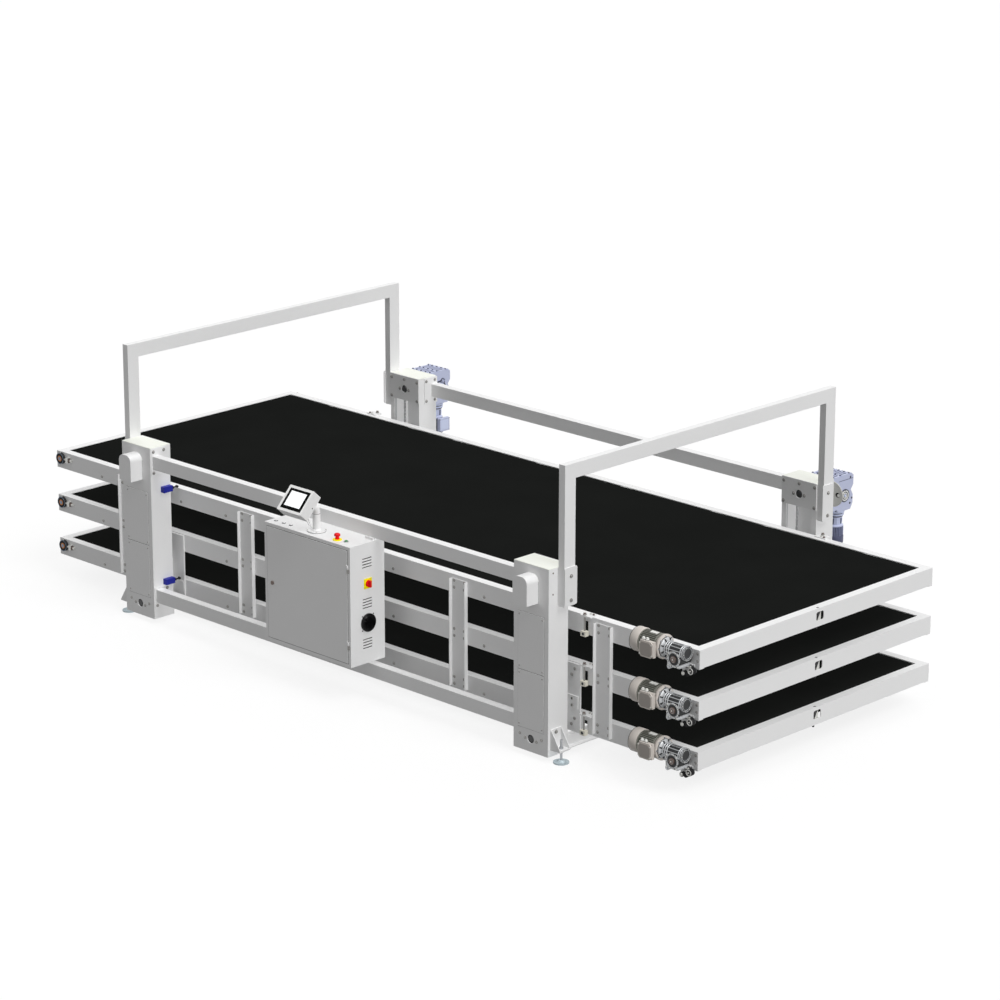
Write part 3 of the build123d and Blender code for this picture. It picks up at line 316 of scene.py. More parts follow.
# Softened edges on the sheet metal
for name in ("front_columns", "rear_columns", "column_caps", "bearing_plates", "column_covers", "front_beams",
             "rear_beams", "base_channels", "portal_arches", "stand_brackets", "cabinet_box", "cabinet_door",
             "cabinet_blocks", "deck_frames", "tie_channels", "carriage_plates", "screen_head"):
    weld = nodes[name].modifiers.new("joined", "WELD")
    weld.merge_threshold = 0.00001
    bevel = nodes[name].modifiers.new("edges", "BEVEL")
    bevel.width, bevel.segments = 0.0009, 2
    bevel.limit_method, bevel.angle_limit = "ANGLE", math.radians(40)
    bevel.harden_normals = True


def place(axis, t, p, q):
    """Point t along the axis, with p and q on the other two axes in their order."""
    return {"x": (t, p, q), "y": (p, t, q), "z": (p, q, t)}[axis]


class Part:
    """Shapes in millimetres, each with its material, that become one object riding on a body."""

    def __init__(self, name):
        self.name = name
        self.bm = bmesh.new()
        self.mats = []

    def faces(self, points, faces, mat, move=None):
        if mat not in self.mats:
            self.mats.append(mat)
        points = [move @ Vector(p) if move else Vector(p) for p in points]
        verts = [self.bm.verts.new(p * MM) for p in points]
        for face in faces:
            self.bm.faces.new([verts[i] for i in face]).material_index = self.mats.index(mat)

    def box(self, x, y, z, mat, move=None):
        points = [(a, b, c) for a in x for b in y for c in z]
        sides = [(0, 1, 3, 2), (4, 6, 7, 5), (0, 4, 5, 1), (2, 3, 7, 6), (0, 2, 6, 4), (1, 5, 7, 3)]
        self.faces(points, sides, mat, move)

    def prism(self, axis, outline, a, b, mat, move=None):
        n = len(outline)
        points = [place(axis, t, p, q) for t in (a, b) for p, q in outline]
        sides = [(i, (i + 1) % n, n + (i + 1) % n, n + i) for i in range(n)]
        self.faces(points, sides + [tuple(range(n)), tuple(range(n, 2 * n))], mat, move)

    def lathe(self, axis, profile, p, q, mat, n=32, move=None):
        """Turned shape from (along, radius) pairs. A profile that ends where it began makes a ring."""
        loop = profile[0] == profile[-1]
        rows = profile[:-1] if loop else profile
        turn = [2 * math.pi * (i + 0.5) / n for i in range(n)]
        points = [place(axis, t, p + r * math.cos(w), q + r * math.sin(w)) for t, r in rows for w in turn]
        sides = []
        for k in range(len(rows) if loop else len(rows) - 1):
            j = (k + 1) % len(rows)
            sides += [(k * n + i, k * n + (i + 1) % n, j * n + (i + 1) % n, j * n + i) for i in range(n)]
        if not loop:
            sides += [tuple(range(n)), tuple(range(len(points) - n, len(points)))]
        self.faces(points, sides, mat, move)

    def rod(self, axis, r, a, b, p, q, mat, n=32, move=None):
        self.lathe(axis, [(a, r), (b, r)], p, q, mat, n, move)

    def ring(self, axis, r, inner, a, b, p, q, mat, n=32, move=None):
        self.lathe(axis, [(a, r), (b, r), (b, inner), (a, inner), (a, r)], p, q, mat, n, move)

    def bolt(self, axis, r, base, out, p, q, mat, washer=True, move=None):
        """Hexagon head with a chamfered top on a washer, standing out of the face at base."""
        s = 1 if out > 0 else -1
        foot = base
        if washer:
            self.rod(axis, r * 1.3, base, base + s * 1.2, p, q, mat, 20, move)
            foot = base + s * 1.2
        self.lathe(axis, [(foot, r), (base + out - s * 1.2, r), (base + out, r * 0.82)], p, q, mat, 6, move)

    def done(self, body, bevel=0.7, stands_for=()):
        bmesh.ops.recalc_face_normals(self.bm, faces=self.bm.faces)
        mesh = bpy.data.meshes.new(self.name)
        self.bm.to_mesh(mesh)
        self.bm.free()
        for mat in self.mats:
            mesh.materials.append(M[mat])
        mesh.shade_smooth()
        mesh.set_sharp_from_angle(angle=math.radians(35))
        obj = bpy.data.objects.new(self.name, mesh)
        scene.collection.objects.link(obj)
        if bevel:
            edges = obj.modifiers.new("edges", "BEVEL")
            edges.width, edges.segments = bevel * MM, 1
            edges.limit_method, edges.angle_limit = "ANGLE", math.radians(35)
            edges.harden_normals = True
        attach(obj, body)
        if stands_for:
            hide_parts(*stands_for)


def turned(axis, degrees, centre):
    """Turn about an axis through a centre, for shapes placed round it."""
    return Matrix.Translation(centre) @ Matrix.Rotation(math.radians(degrees), 4, axis)


# Gearmotor of one deck: finned motor, worm gearbox and torque arm
def deck_unit(part, top):
    axis_z, gear_y, drive_x = top - AXIS_DROP, -1184, DRIVE_X
    worm_z = axis_z + 42
    # Fan cowl with its grille
    cowl = [(2572, 56), (2570, 64), (2573, 71), (2580, 75.5), (2632, 75.5), (2636, 73)]
    part.lathe("x", cowl, gear_y, worm_z, "beige", 48)
    part.rod("x", 57, 2570.6, 2574, gear_y, worm_z, "black", 40)
    for r in (52, 41, 30, 19):
        part.ring("x", r, r - 4, 2569.6, 2572, gear_y, worm_z, "beige", 40)
    part.rod("x", 9, 2569.2, 2572, gear_y, worm_z, "beige")
    # Dark ring of painted shade where the cowl meets the body
    part.ring("x", 75.8, 74, 2574, 2576, gear_y, worm_z, "cast_deep", 48)
    # Body with its label, two bands, and fins along it except behind the terminal box; the body is darker
    # green between the fins as painted shade
    part.rod("x", 63, 2594, 2782, gear_y, worm_z, "fin_gap_shade", 40)
    for k in range(36):
        angle = k * 10
        if abs(angle - 90) < 32:
            continue
        part.box((2630, 2778), (-1.9, 1.9), (60, 72), "fins", turned("X", angle, (0, gear_y, worm_z)))
    part.box((2688, 2742), (-13, 13), (66, 73.2), "white", turned("X", 4, (0, gear_y, worm_z)))
    for x in (2634, 2760):
        part.ring("x", 72, 60, x, x + 7, gear_y, worm_z, "fins", 40)
    # Terminal box with its lid and cable glands
    part.box((2690, 2762), (gear_y - 50, gear_y - 68), (worm_z - 40, worm_z + 32), "beige")
    # Dark layer of painted shade in the gap between the box and the lid's frame
    part.box((2688, 2784), (gear_y - 68, gear_y - 76), (worm_z - 50, worm_z + 40), "cast_deep")
    part.box((2684, 2788), (gear_y - 74, gear_y - 97), (worm_z - 54, worm_z + 44), "beige")
    lid_x, lid_z, cut = 2736, worm_z - 5, 15
    for half_x, half_z, y0, y1, mat in ((53, 51, 97, 107, "beige"), (45, 42, 107, 110, "lid")):
        left, right, low, high = lid_x - half_x, lid_x + half_x, lid_z - half_z, lid_z + half_z
        outline = [(left + cut, low), (right - cut, low), (right, low + cut), (right, high - cut)]
        outline += [(right - cut, high), (left + cut, high), (left, high - cut), (left, low + cut)]
        part.prism("y", outline, gear_y - y0, gear_y - y1, mat)
    for dx in (-47, 47):
        for dz in (-38, 28):
            part.bolt("y", 4, gear_y - 107, -5, lid_x + dx, worm_z + dz, "bright", False)
    gland = [(worm_z + 46, 11), (worm_z + 54, 11), (worm_z + 55, 8), (worm_z + 62, 7)]
    # Dark collars of painted shade under the glands
    for x in (2700, 2730):
        part.rod("z", 13, worm_z + 44, worm_z + 46.5, x, gear_y - 85, "cast_deep", 12)
        part.lathe("z", gland, x, gear_y - 85, "white", 12)
    # Bolted flanges between motor and gearbox, with dark seams of painted shade between them and dark pockets
    # of painted shade between the bolts
    part.lathe("x", [(2776, 70), (2777, 74), (2780, 74), (2781, 71)], gear_y, worm_z, "lid", 48)
    part.rod("x", 69, 2780, 2787, gear_y, worm_z, "cast_deep", 40)
    part.lathe("x", [(2785, 74), (2787, 76), (2798, 76), (2800, 73)], gear_y, worm_z, "beige", 48)
    part.rod("x", 62, 2799, 2803, gear_y, worm_z, "cast_deep", 40)
    part.lathe("x", [(2802, 60), (2809, 60), (2814, 54), (2818, 44)], gear_y, worm_z, "cast", 40)
    for k in range(8):
        spin = turned("X", 22.5 + k * 45, (0, gear_y, worm_z))
        part.box((2801, 2820), (-4, 4), (42, 59), "cast_deep", spin)
        part.bolt("x", 4.5, 2800, 8, 0, 67, "steel", True, turned("X", k * 45, (0, gear_y, worm_z)))
    # Worm housing with ribs and its end cover; the dark core between the ribs and the cover's dark grooves,
    # middle and bolt seats are painted shade
    part.rod("x", 41, 2812, 2966, gear_y, worm_z, "cast_deep", 36)
    for x in (2822, 2838, 2854, 2944, 2958):
        part.lathe("x", [(x, 44), (x + 2, 46), (x + 5, 46), (x + 7, 44)], gear_y, worm_z, "cast", 36)
    for k in range(12):
        part.box((2816, 2966), (-2, 2), (38, 45.5), "cast", turned("X", 15 + k * 30, (0, gear_y, worm_z)))
    part.ring("x", 46, 33, 2966, 2972, gear_y, worm_z, "cast_dark", 36)
    part.ring("x", 46, 43, 2971, 2974, gear_y, worm_z, "cast", 36)
    part.ring("x", 35.5, 33, 2971, 2974, gear_y, worm_z, "cast", 36)
    part.rod("x", 33, 2966, 2971.5, gear_y, worm_z, "cast_deep", 32)
    part.ring("x", 27, 24, 2971, 2973, gear_y, worm_z, "cast_dark", 32)
    for k in range(6):
        spin = turned("X", 30 + k * 60, (0, gear_y, worm_z))
        part.rod("x", 6, 2973, 2974.6, 0, 40, "cast_deep", 16, spin)
        part.bolt("x", 3.6, 2974, 5, 0, 40, "bright", False, spin)
    # Gear case: dark core of painted shade inside light ribs and walls
    x0, x1, y0, y1, low = 2850, 2946, gear_y + 50, gear_y - 42, axis_z - 52
    part.box((x0 + 3, x1 - 3), (y0 - 3, y1 + 3), (low + 3, worm_z), "cast_deep")
    part.rod("y", 52, gear_y + 56, y1 + 2, drive_x, axis_z, "cast_deep", 40)
    for y in (y0 - 8, y1 + 2):
        part.ring("y", 49, 30, y, y + 8, drive_x, axis_z, "cast", 40)
        part.box((x0, x0 + 8), (y, y + 8), (low, worm_z), "cast")
        part.box((x1 - 8, x1), (y, y + 8), (low, worm_z), "cast")
        part.box((x0, x1), (y, y + 8), (low, low + 7), "cast")
    for k in range(5):
        z = low + k * 18
        part.box((x0, x1), (y0, y1), (z, z + 4), "cast")
    for x in (x0, x0 + 22, x0 + 72):
        part.box((x, x + 4), (y0, y1), (low, low + 82), "cast")
    for dx, dz in ((-42, -43), (34, -43), (-42, 30), (34, 30)):
        part.rod("y", 8, y0, y1 - 2, drive_x + dx, axis_z + dz, "cast", 20)
        part.bolt("y", 5, y1 - 2, -6, drive_x + dx, axis_z + dz, "bright", False)
    part.rod("y", 15, gear_y + 44, gear_y - 38, drive_x - 45, axis_z - 56, "cast", 24)
    part.bolt("y", 7, gear_y - 38, -7, drive_x - 45, axis_z - 56, "steel")
    # Output cover on the front: light rim, dark disc and the shaft end in its sleeve
    part.ring("y", 48, 38, y1, gear_y - 48, drive_x, axis_z, "cast", 40)
    part.ring("y", 38, 15.1, y1, gear_y - 46, drive_x, axis_z, "cast_deep", 40)
    part.ring("y", 20, 15.1, gear_y - 45, gear_y - 53, drive_x, axis_z, "sleeve", 32)
    part.rod("y", 14, gear_y - 55.8, gear_y - 56.8, drive_x, axis_z, "shaft_end", 32)
    # Small painted highlight in the middle of the shaft end
    part.rod("y", 5, gear_y - 56.6, gear_y - 57.4, drive_x, axis_z, "bright", 20)
    # Dark seats of painted shade under the cover's bolts
    for k in range(8):
        spin = turned("Y", 22.5 + k * 45, (drive_x, 0, axis_z))
        part.rod("y", 6.5, gear_y - 47, gear_y - 48.6, 0, 46, "cast_deep", 16, spin)
        part.bolt("y", 4, gear_y - 48, -5, 0, 46, "bright", False, spin)
    # Torque arm with its rubber pads
    arm_y = -(SIDE_Y + 10.5)
    outline = [(2875, axis_z - 112), (2888, axis_z - 125), (2922, axis_z - 125)]
    outline += [(2948, axis_z - 106), (2948, axis_z - 48), (2875, axis_z - 48)]
    part.prism("y", outline, arm_y + 6, arm_y, "plate")
    part.rod("y", 21, arm_y + 6, arm_y, drive_x + 58, axis_z - 82, "cast_dark", 28)
    part.box((2890, 2964), (-SIDE_Y, arm_y + 6), (axis_z - 72, axis_z - 50), "plate")
    # Dark bar under the bolts and dark strip below it: painted shade
    part.box((2890, 2964), (arm_y, arm_y - 16), (axis_z - 66, axis_z - 54), "cast_deep")
    for dx in (-6, 12, 30, 48):
        part.bolt("y", 6, arm_y - 16, -6, drive_x + dx, axis_z - 60, "bright")
    part.box((2884, 2970), (arm_y, arm_y - 10), (axis_z - 75, axis_z - 66), "cast_deep")
    for dx, dz, r, rim, inner in ((0, 108, 15, 12, 5), (58, 82, 22, 21, 15)):
        part.rod("y", r, arm_y, arm_y - 27, drive_x + dx, axis_z - dz, "rubber", 28)
        part.ring("y", rim, inner, arm_y - 27, arm_y - 30, drive_x + dx, axis_z - dz, "white", 28)
        part.bolt("y", 5.5, arm_y - 27, -7, drive_x + dx, axis_z - dz, "bright", False)
    part.rod("y", 17, arm_y, arm_y - 24, drive_x + 30, axis_z - 104, "rubber", 28)


units = Part("deck_gearmotor_details")
for top in DECK_TOPS:
    deck_unit(units, top)
units.done("carriage", 0.6, ["deck_gearmotors"])


# Lift gearmotor: ribbed casting, upright finned motor and terminal box
def lift_unit(part, sx):
    out = COL_OUT

    def x(d):
        return (COL_X + d) * sx

    # Torque plate on the column, its round end with a hole drawn as a black disc of painted shade, and two
    # bolts
    part.box((x(-60), x(134)), (out, out + 8), (1049, 1221), "plate")
    part.rod("y", 86, out, out + 7.9, x(134), 1135, "torque", 48)
    part.rod("y", 17, out - 0.4, out + 8.4, x(180), 1136, "gloss_black", 24)
    part.rod("y", 10, out - 0.7, out + 8.7, x(180) + 7, 1135, "white", 24)
    for z in (1062, 1208):
        part.bolt("y", 7, out, -6, x(-48), z, "zinc")
    # Gear case: light ribs on a dark core of painted shade, strips and screws on its top
    outline = [(8, 1000), (8, 1235), (206, 1235), (227, 1217), (227, 1155), (203, 1122)]
    outline += [(224, 1085), (224, 1030), (201, 988), (78, 988), (58, 1010)]
    outline = [(out + y, z) for y, z in outline]
    mid_y, mid_z = 1455, 1115
    core = [(mid_y + (y - mid_y) * 0.97, mid_z + (z - mid_z) * 0.97) for y, z in outline]
    part.prism("x", core, x(-58), x(123), "lift_dark")
    for d0, d1 in ((-62, -48), (-30, -22), (-6, 2), (18, 26), (42, 50), (66, 74), (88, 96), (112, 127)):
        part.prism("x", outline, x(d0), x(d1), "lift")
    for y0, y1 in ((88, 104), (20, 34), (176, 192)):
        part.box((x(-62), x(127)), (out + y0, out + y1), (1228, 1236), "lift")
    for d in (-55, -12, 34, 80, 119):
        for y in (27, 96, 184):
            part.bolt("z", 6, 1235, 6, x(d), out + y, "lift_dark", True)
    # Side covers with their bolts; the dark disc under each cover's rings is painted shade in its grooves
    for d, s, cy, cz, r in ((127, 1, 140, 1092, 44), (-62, -1, 120, 1100, 62), (-62, -1, 149, 1156, 20)):
        part.rod("x", r, x(d - s * 3), x(d + s * 4), out + cy, cz, "lift_deep", 36)
        light = "white" if r == 44 else "lift"
        part.ring("x", r * 0.82, r * 0.62, x(d), x(d + s * 6), out + cy, cz, light, 36)
        part.ring("x", r * 0.48, r * 0.32, x(d), x(d + s * 6), out + cy, cz, light, 36)
        part.rod("x", r * 0.22, x(d), x(d + s * 7), out + cy, cz, "lift_lid", 20)
        for k in range(6):
            spin = turned("X", k * 60, (0, out + cy, cz))
            part.bolt("x", 4, x(d + s * 6), s * sx * 3, 0, r * 0.83, "lift_dark", False, spin)
    # Parting line of the case and its screws
    part.box((x(126), x(127.8)), (out + 78, out + 224), (1196, 1200), "lift_dark")
    for y, z in ((196, 1208), (60, 1176), (214, 1062), (196, 1030)):
        part.bolt("x", 6, x(126.5), sx * 4, out + y, z, "lift_deep")
    # Upright motor: neck with a row of flanges, finned body and fan cowl. The narrow flanges and the body
    # under the fins are darker as painted shade, two wide flanges lighter as painted highlight, and the tabs
    # round the neck alternate the two
    mx, my = x(33), out + 166
    part.lathe("z", [(860, 50), (864, 54), (870, 54), (874, 42), (928, 42), (932, 46)], mx, my, "lift", 44)
    flanges = [(930, 939, 50, "lift_deep"), (939, 950, 56, "lift_lid"), (950, 958, 50, "lift_deep"),
               (958, 970, 59, "lift_lid"), (970, 978, 54, "lift_deep"), (978, 989, 62, "lift")]
    for z0, z1, r, mat in flanges:
        part.rod("z", r, z0, z1, mx, my, mat, 36)
    for k in range(9):
        mat = "lift_dark" if k % 2 else "lift_lid"
        part.box((-5, 5), (38, 46), (882, 920), mat, turned("Z", k * 40, (mx, my, 0)))
    part.rod("z", 46, 798, 862, mx, my, "lift_deep", 36)
    for k in range(30):
        part.box((-2.2, 2.2), (43, 55), (802, 861), "lift_fins", turned("Z", k * 12, (mx, my, 0)))
    for k in range(4):
        part.bolt("z", 6, 978, -9, 0, 54, "lift_deep", True, turned("Z", 45 + k * 90, (mx, my, 0)))
    cowl = [(746, 48), (745, 52), (750, 56), (758, 57), (796, 57), (800, 55)]
    part.lathe("z", cowl, mx, my, "lift_dark", 44)
    part.rod("z", 46, 744.5, 748, mx, my, "black", 32)
    for r in (44, 33, 22):
        part.ring("z", r, r - 4, 744, 747, mx, my, "lift", 32)
    # Terminal box on the motor's side with its lid, screws and cable glands; its dark base and the dark layer
    # between its two frames are painted shade
    box_y, box_z = my - 10, 826
    for d0, d1, half_y, half_z, mat in ((-2, -52, 40, 38, "lift_dark"), (-50, -64, 51, 49, "lift"),
                                        (-64, -66, 48, 46, "lift_dark"), (-66, -76, 50, 48, "lift"),
                                        (-75, -77, 39, 37, "lift_lid")):
        part.box((x(d0), x(d1)), (box_y - half_y, box_y + half_y), (box_z - half_z, box_z + half_z), mat)
    for dz in (-43, 43):
        for dy in (-45, 45):
            part.bolt("x", 3.5, x(-76), -3 * sx, box_y + dy, box_z + dz, "lift_dark", False)
    for dy in (-30, 2):
        part.lathe("z", [(790, 9), (776, 9), (774, 7), (766, 6)], x(-40), box_y + dy, "black", 12)


units = Part("lift_gearmotor_details")
for sx in (-1, 1):
    lift_unit(units, sx)
units.done("stand", 0.8, ["lift_gearmotors"])


# Chain links in place of each plain loop
def chain(part, sx, sy):
    """Loop of plates and rollers round the two shafts of one column."""
    r, low, high, count = 66.9, 119, 1144, 98
    half = high - low
    length = 2 * half + 2 * math.pi * r
    pitch = length / count

    def at(s):
        """Place on the loop at distance s, going up on the right."""
        s %= length
        if s < half:
            return Vector((r, 0, low + s))
        s -= half
        if s < math.pi * r:
            w = s / r
            return Vector((r * math.cos(w), 0, high + r * math.sin(w)))
        s -= math.pi * r
        if s < half:
            return Vector((-r, 0, high - s))
        w = math.pi + (s - half) / r
        return Vector((r * math.cos(w), 0, low + r * math.sin(w)))

    for k in range(count):
        a, b = at(k * pitch), at((k + 1) * pitch)
        middle, along = (a + b) / 2, b - a
        spin = Matrix.Rotation(-math.atan2(along.z, along.x), 4, "Y")
        move = Matrix.Translation((COL_X * sx + middle.x, CHAIN_Y * sy, middle.z)) @ spin
        gap = 4.6 if k % 2 else 3.0
        for s in (-1, 1):
            plate = [(-pitch / 2 - 4, -3), (-pitch / 2, -5.6), (pitch / 2, -5.6), (pitch / 2 + 4, -3)]
            plate += [(p, -q) for p, q in reversed(plate)]
            part.prism("y", plate, s * gap, s * (gap + 1.5), "chain", move)
        roller = Matrix.Translation((COL_X * sx + a.x, CHAIN_Y * sy, a.z))
        part.rod("y", 5.4, -3, 3, 0, 0, "chain_roller", 10, roller)
        part.rod("y", 2.6, -6.9, 6.9, 0, 0, "chain_roller", 8, roller)


links = Part("lift_chain_links")
for sx, sy in CORNERS:
    chain(links, sx, sy)
links.done("stand", 0, ["lift_chains"])


# Bolt heads: a plain hexagon gets a washer and a chamfer, a plain round head a socket drawn as a dark rod of
# painted shade
def bolt_heads(node_name, body, direction):
    """Heads for each separate shape in a node. A hexagon has 12 to 14 points, a round head more."""
    source = bmesh.new()
    source.from_mesh(nodes[node_name].data)
    bmesh.ops.remove_doubles(source, verts=source.verts, dist=0.00002)
    part = Part(node_name + "_heads")
    seen = set()
    for first in source.verts:
        if first.index in seen:
            continue
        stack, group = [first], []
        seen.add(first.index)
        while stack:
            vert = stack.pop()
            group.append(vert.co / MM)
            for edge in vert.link_edges:
                other = edge.other_vert(vert)
                if other.index not in seen:
                    seen.add(other.index)
                    stack.append(other)
        low = [min(p[i] for p in group) for i in range(3)]
        high = [max(p[i] for p in group) for i in range(3)]
        size = [high[i] - low[i] for i in range(3)]
        k = size.index(min(size))
        mid = [(low[i] + high[i]) / 2 for i in range(3)]
        r = max(size[i] for i in range(3) if i != k) / 2
        p, q = [mid[i] for i in range(3) if i != k]
        axis = "xyz"[k]
        s = direction(axis, mid)
        base = low[k] if s > 0 else high[k]
        if len(group) > 14:
            head = [(base, r), (base + s * size[k] * 0.6, r), (base + s * size[k], r * 0.7)]
            part.lathe(axis, head, p, q, "zinc", 20)
            part.rod(axis, r * 0.4, base, base + s * (size[k] + 0.15), p, q, "cast_deep", 6)
        else:
            part.bolt(axis, r, base, s * size[k], p, q, "zinc")
    source.free()
    part.done(body, 0, [node_name])


def stand_side(axis, mid):
    """Way a head of the stand points: towards the middle on inner faces, else away from it."""
    k, inner = (1, COL_IN) if axis == "y" else (0, 1800)
    away = 1 if mid[k] > 0 else -1
    return -away if abs(mid[k]) < inner else away


bolt_heads("stand_bolts", "stand", stand_side)
bolt_heads("carriage_bolts", "carriage", lambda axis, mid: 1 if mid[1] > 0 else -1)

# Small parts that ride on the decks
extras = Part("deck_small_parts")
for top in DECK_TOPS:
    axis_z, track_z = top - AXIS_DROP, top - TRACK_DROP
    for sy in (-1, 1):
        # Tail bearing: outer ring, seal, brown inner ring and grease nipple
        y = sy * (SIDE_Y + 20)
        extras.ring("y", 39.5, 36.5, y, y + sy * 0.8, TAIL_X, axis_z, "slate", 40)
        extras.ring("y", 34, 12.7, y, y + sy * 0.6, TAIL_X, axis_z, "rubber", 40)
        extras.ring("y", 20, 12.7, y, y + sy * 1.4, TAIL_X, axis_z, "copper", 36)
        extras.bolt("z", 4, axis_z + 39, 7, TAIL_X, y - sy * 8, "bright", False)
        # Lock plates and nuts of the tension screw
        y0, y1 = sy * (SIDE_Y + 1), sy * (SIDE_Y + 19)
        for x in (TAIL_X + 60, TAIL_X + 88):
            extras.box((x, x + 3), (y0, y1), (axis_z - 16, axis_z + 16), "cast_deep")
        screw_y = sy * (SIDE_Y + 10)
        extras.bolt("x", 11, TAIL_X + 91, 8, screw_y, axis_z, "shaft_end")
        extras.ring("x", 9.5, 6.3, TAIL_X + 52, TAIL_X + 59, screw_y, axis_z, "bright", 6)
        # Bolts and seal of the rear drive bearing
        if sy > 0:
            for k in range(4):
                spin = turned("Y", 45 + k * 90, (DRIVE_X, 0, axis_z))
                extras.bolt("y", 5, SIDE_Y + 14, 6, 0, 31, "zinc", True, spin)
            extras.ring("y", 24, 15.2, SIDE_Y + 14, SIDE_Y + 16, DRIVE_X, axis_z, "black", 32)
        # Bolts and nuts of the tracking roller hangers, and a dark disc of painted shade on each block
        for sx in (-1, 1):
            x = sx * TRACK_X
            for dx, mat in ((16, "bright"), (40, "shaft_end")):
                extras.bolt("z", 7, top + 8, 8, x + sx * dx, sy * (SIDE_Y - 18), mat)
            extras.ring("z", 12, 10.2, top + 8, top + 15.5, x, sy * (SIDE_Y + 18), "zinc", 24)
            extras.ring("z", 8.5, 6.1, top + 16, top + 24, x, sy * (SIDE_Y + 18), "shaft_end", 20)
            y0, y1 = sy * (SIDE_Y + 34), sy * (SIDE_Y + 34.8)
            extras.rod("y", 9, y0, y1, x, track_z, "cast_deep", 24)
extras.done("carriage", 0.4)

# Screen: black surround and white glass in the recess, screws, and vents at the back drawn as dark strips of
# painted shade
tilt = Matrix.Translation(SCREEN_CENTRE) @ Matrix.Rotation(-SCREEN_TILT, 4, "X")
screen = Part("screen_details")
recess_x, recess_z, glass_x, glass_z = 92.8, 72.8, (-73, 69), (-50, 56.5)
for x in ((-recess_x, glass_x[0]), (glass_x[1], recess_x)):
    screen.box(x, (-37.4, -35.5), (-recess_z, recess_z), "belt_edge", tilt)
for z in ((-recess_z, glass_z[0]), (glass_z[1], recess_z)):
    screen.box(glass_x, (-37.4, -35.5), z, "belt_edge", tilt)
screen.box(glass_x, (-37, -35.5), glass_z, "glass", tilt)
for x in (-100, 100):
    for z in (-80, 80):
        screen.rod("y", 4, 37, 39.2, x, z, "steel", 16, tilt)
screen.box((-86, 86), (37, 39), (-66, 66), "case", tilt)
for k in range(6):
    for x in ((-80, -36), (36, 80)):
        screen.box(x, (38, 39.3), (-40 + 14 * k, -35 + 14 * k), "cast_deep", tilt)
for s in (-1, 1):
    screen.rod("x", 4.5, s * 110, s * 112.2, 21, -2, "cast_deep", 16, tilt)
    screen.bolt("x", 9, s * 29, s * 7, 72, 0, "bright", True, tilt)
screen.done("screen_head", 0.5)

# Post with its elbow and knuckle, and its collar
post = Part("post_details")
around, bend, pivot_y, pivot_z = 36, 50, -1545.9, 1248.4
bend_z = pivot_z - bend
path = [(POST_Y, 1087.3, 0), (POST_Y, bend_z, 0)]
for k in range(1, 8):
    w = 0.2 * k
    path.append((POST_Y - bend + bend * math.cos(w), bend_z + bend * math.sin(w), w))
path += [(POST_Y - bend, pivot_z, math.pi / 2), (pivot_y + 22, pivot_z, math.pi / 2)]
points, sides = [], []
for y, z, w in path:
    for i in range(around):
        t = 2 * math.pi * (i + 0.5) / around
        across, over = POST_R * math.cos(t), POST_R * math.sin(t)
        points.append((POST_X + across, y + over * math.cos(w), z + over * math.sin(w)))
for row in range(len(path) - 1):
    a, b = row * around, (row + 1) * around
    sides += [(a + i, a + (i + 1) % around, b + (i + 1) % around, b + i) for i in range(around)]
sides += [tuple(range(around)), tuple(range(len(points) - around, len(points)))]
post.faces(points, sides, "case")
post.box((POST_X - 14, POST_X + 14), (pivot_y, pivot_y + 30), (pivot_z - 14, pivot_z + 14), "case")
post.rod("x", 14, POST_X - 14, POST_X + 14, pivot_y, pivot_z, "case")
post.rod("x", 6, POST_X - 30, POST_X + 30, pivot_y, pivot_z, "steel", 20)
# Dark ring of painted shade just below the elbow
post.ring("z", 25.5, 24, bend_z - 3, bend_z - 0.5, POST_X, POST_Y, "seam_shade", 36)
post.lathe("z", [(1087.5, 33), (1091, 33), (1094, 29), (1097, 26)], POST_X, POST_Y, "case", 36)
post.done("screen_post", 0.3, ["screen_post"])


def cable(name, points, r, body, mat):
    """Cable of radius r along a smooth line near points in millimetres, from the post's head to its foot."""
    curve = bpy.data.curves.new(name, "CURVE")
    curve.dimensions = "3D"
    curve.bevel_depth = r * MM
    curve.bevel_resolution = 3
    curve.resolution_u = 10
    curve.use_fill_caps = True
    line = curve.splines.new("NURBS")
    line.points.add(len(points) - 1)
    for point, spot in zip(line.points, points):
        point.co = (*(Vector(spot) * MM), 1)
    line.order_u = 3
    line.use_endpoint_u = True
    curve.materials.append(M[mat])
    obj = bpy.data.objects.new(name, curve)
    scene.collection.objects.link(obj)
    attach(obj, body)


cable("screen_cable_1",
      [(40, -1494, 1240), (30, -1516, 1205), (22, -1504, 1150), (26, -1480, 1112), (38, -1470, 1096)],
      3.2, "screen_post", "case")
cable("screen_cable_2",
      [(44, -1498, 1236), (42, -1510, 1200), (38, -1498, 1150), (40, -1482, 1115), (44, -1474, 1096)],
      3.2, "screen_post", "case")

# Small parts on the cabinet and two screws on the outer side of each front column
fit = Part("cabinet_details")
fan_x, plate_x, flange_z = CAB_SIDE + 15.5, CAB_SIDE + 3.5, CAB_TOP + 8
# Fan guard with its screws
guard = [(fan_x, 52), (fan_x + 2, 50), (fan_x + 3, 40), (fan_x + 3.5, 20)]
fit.lathe("x", guard, FAN_Y, FAN_Z, "gloss_black", 48)
for r in (44, 34, 24, 14):
    fit.ring("x", r, r - 1.6, fan_x + 2, fan_x + 4.5, FAN_Y, FAN_Z, "gloss_black", 40)
for dy in (-48, 48):
    for dz in (-48, 48):
        fit.bolt("x", 4.5, CAB_SIDE, 3.5, FAN_Y + dy, FAN_Z + dz, "gloss_black", False)
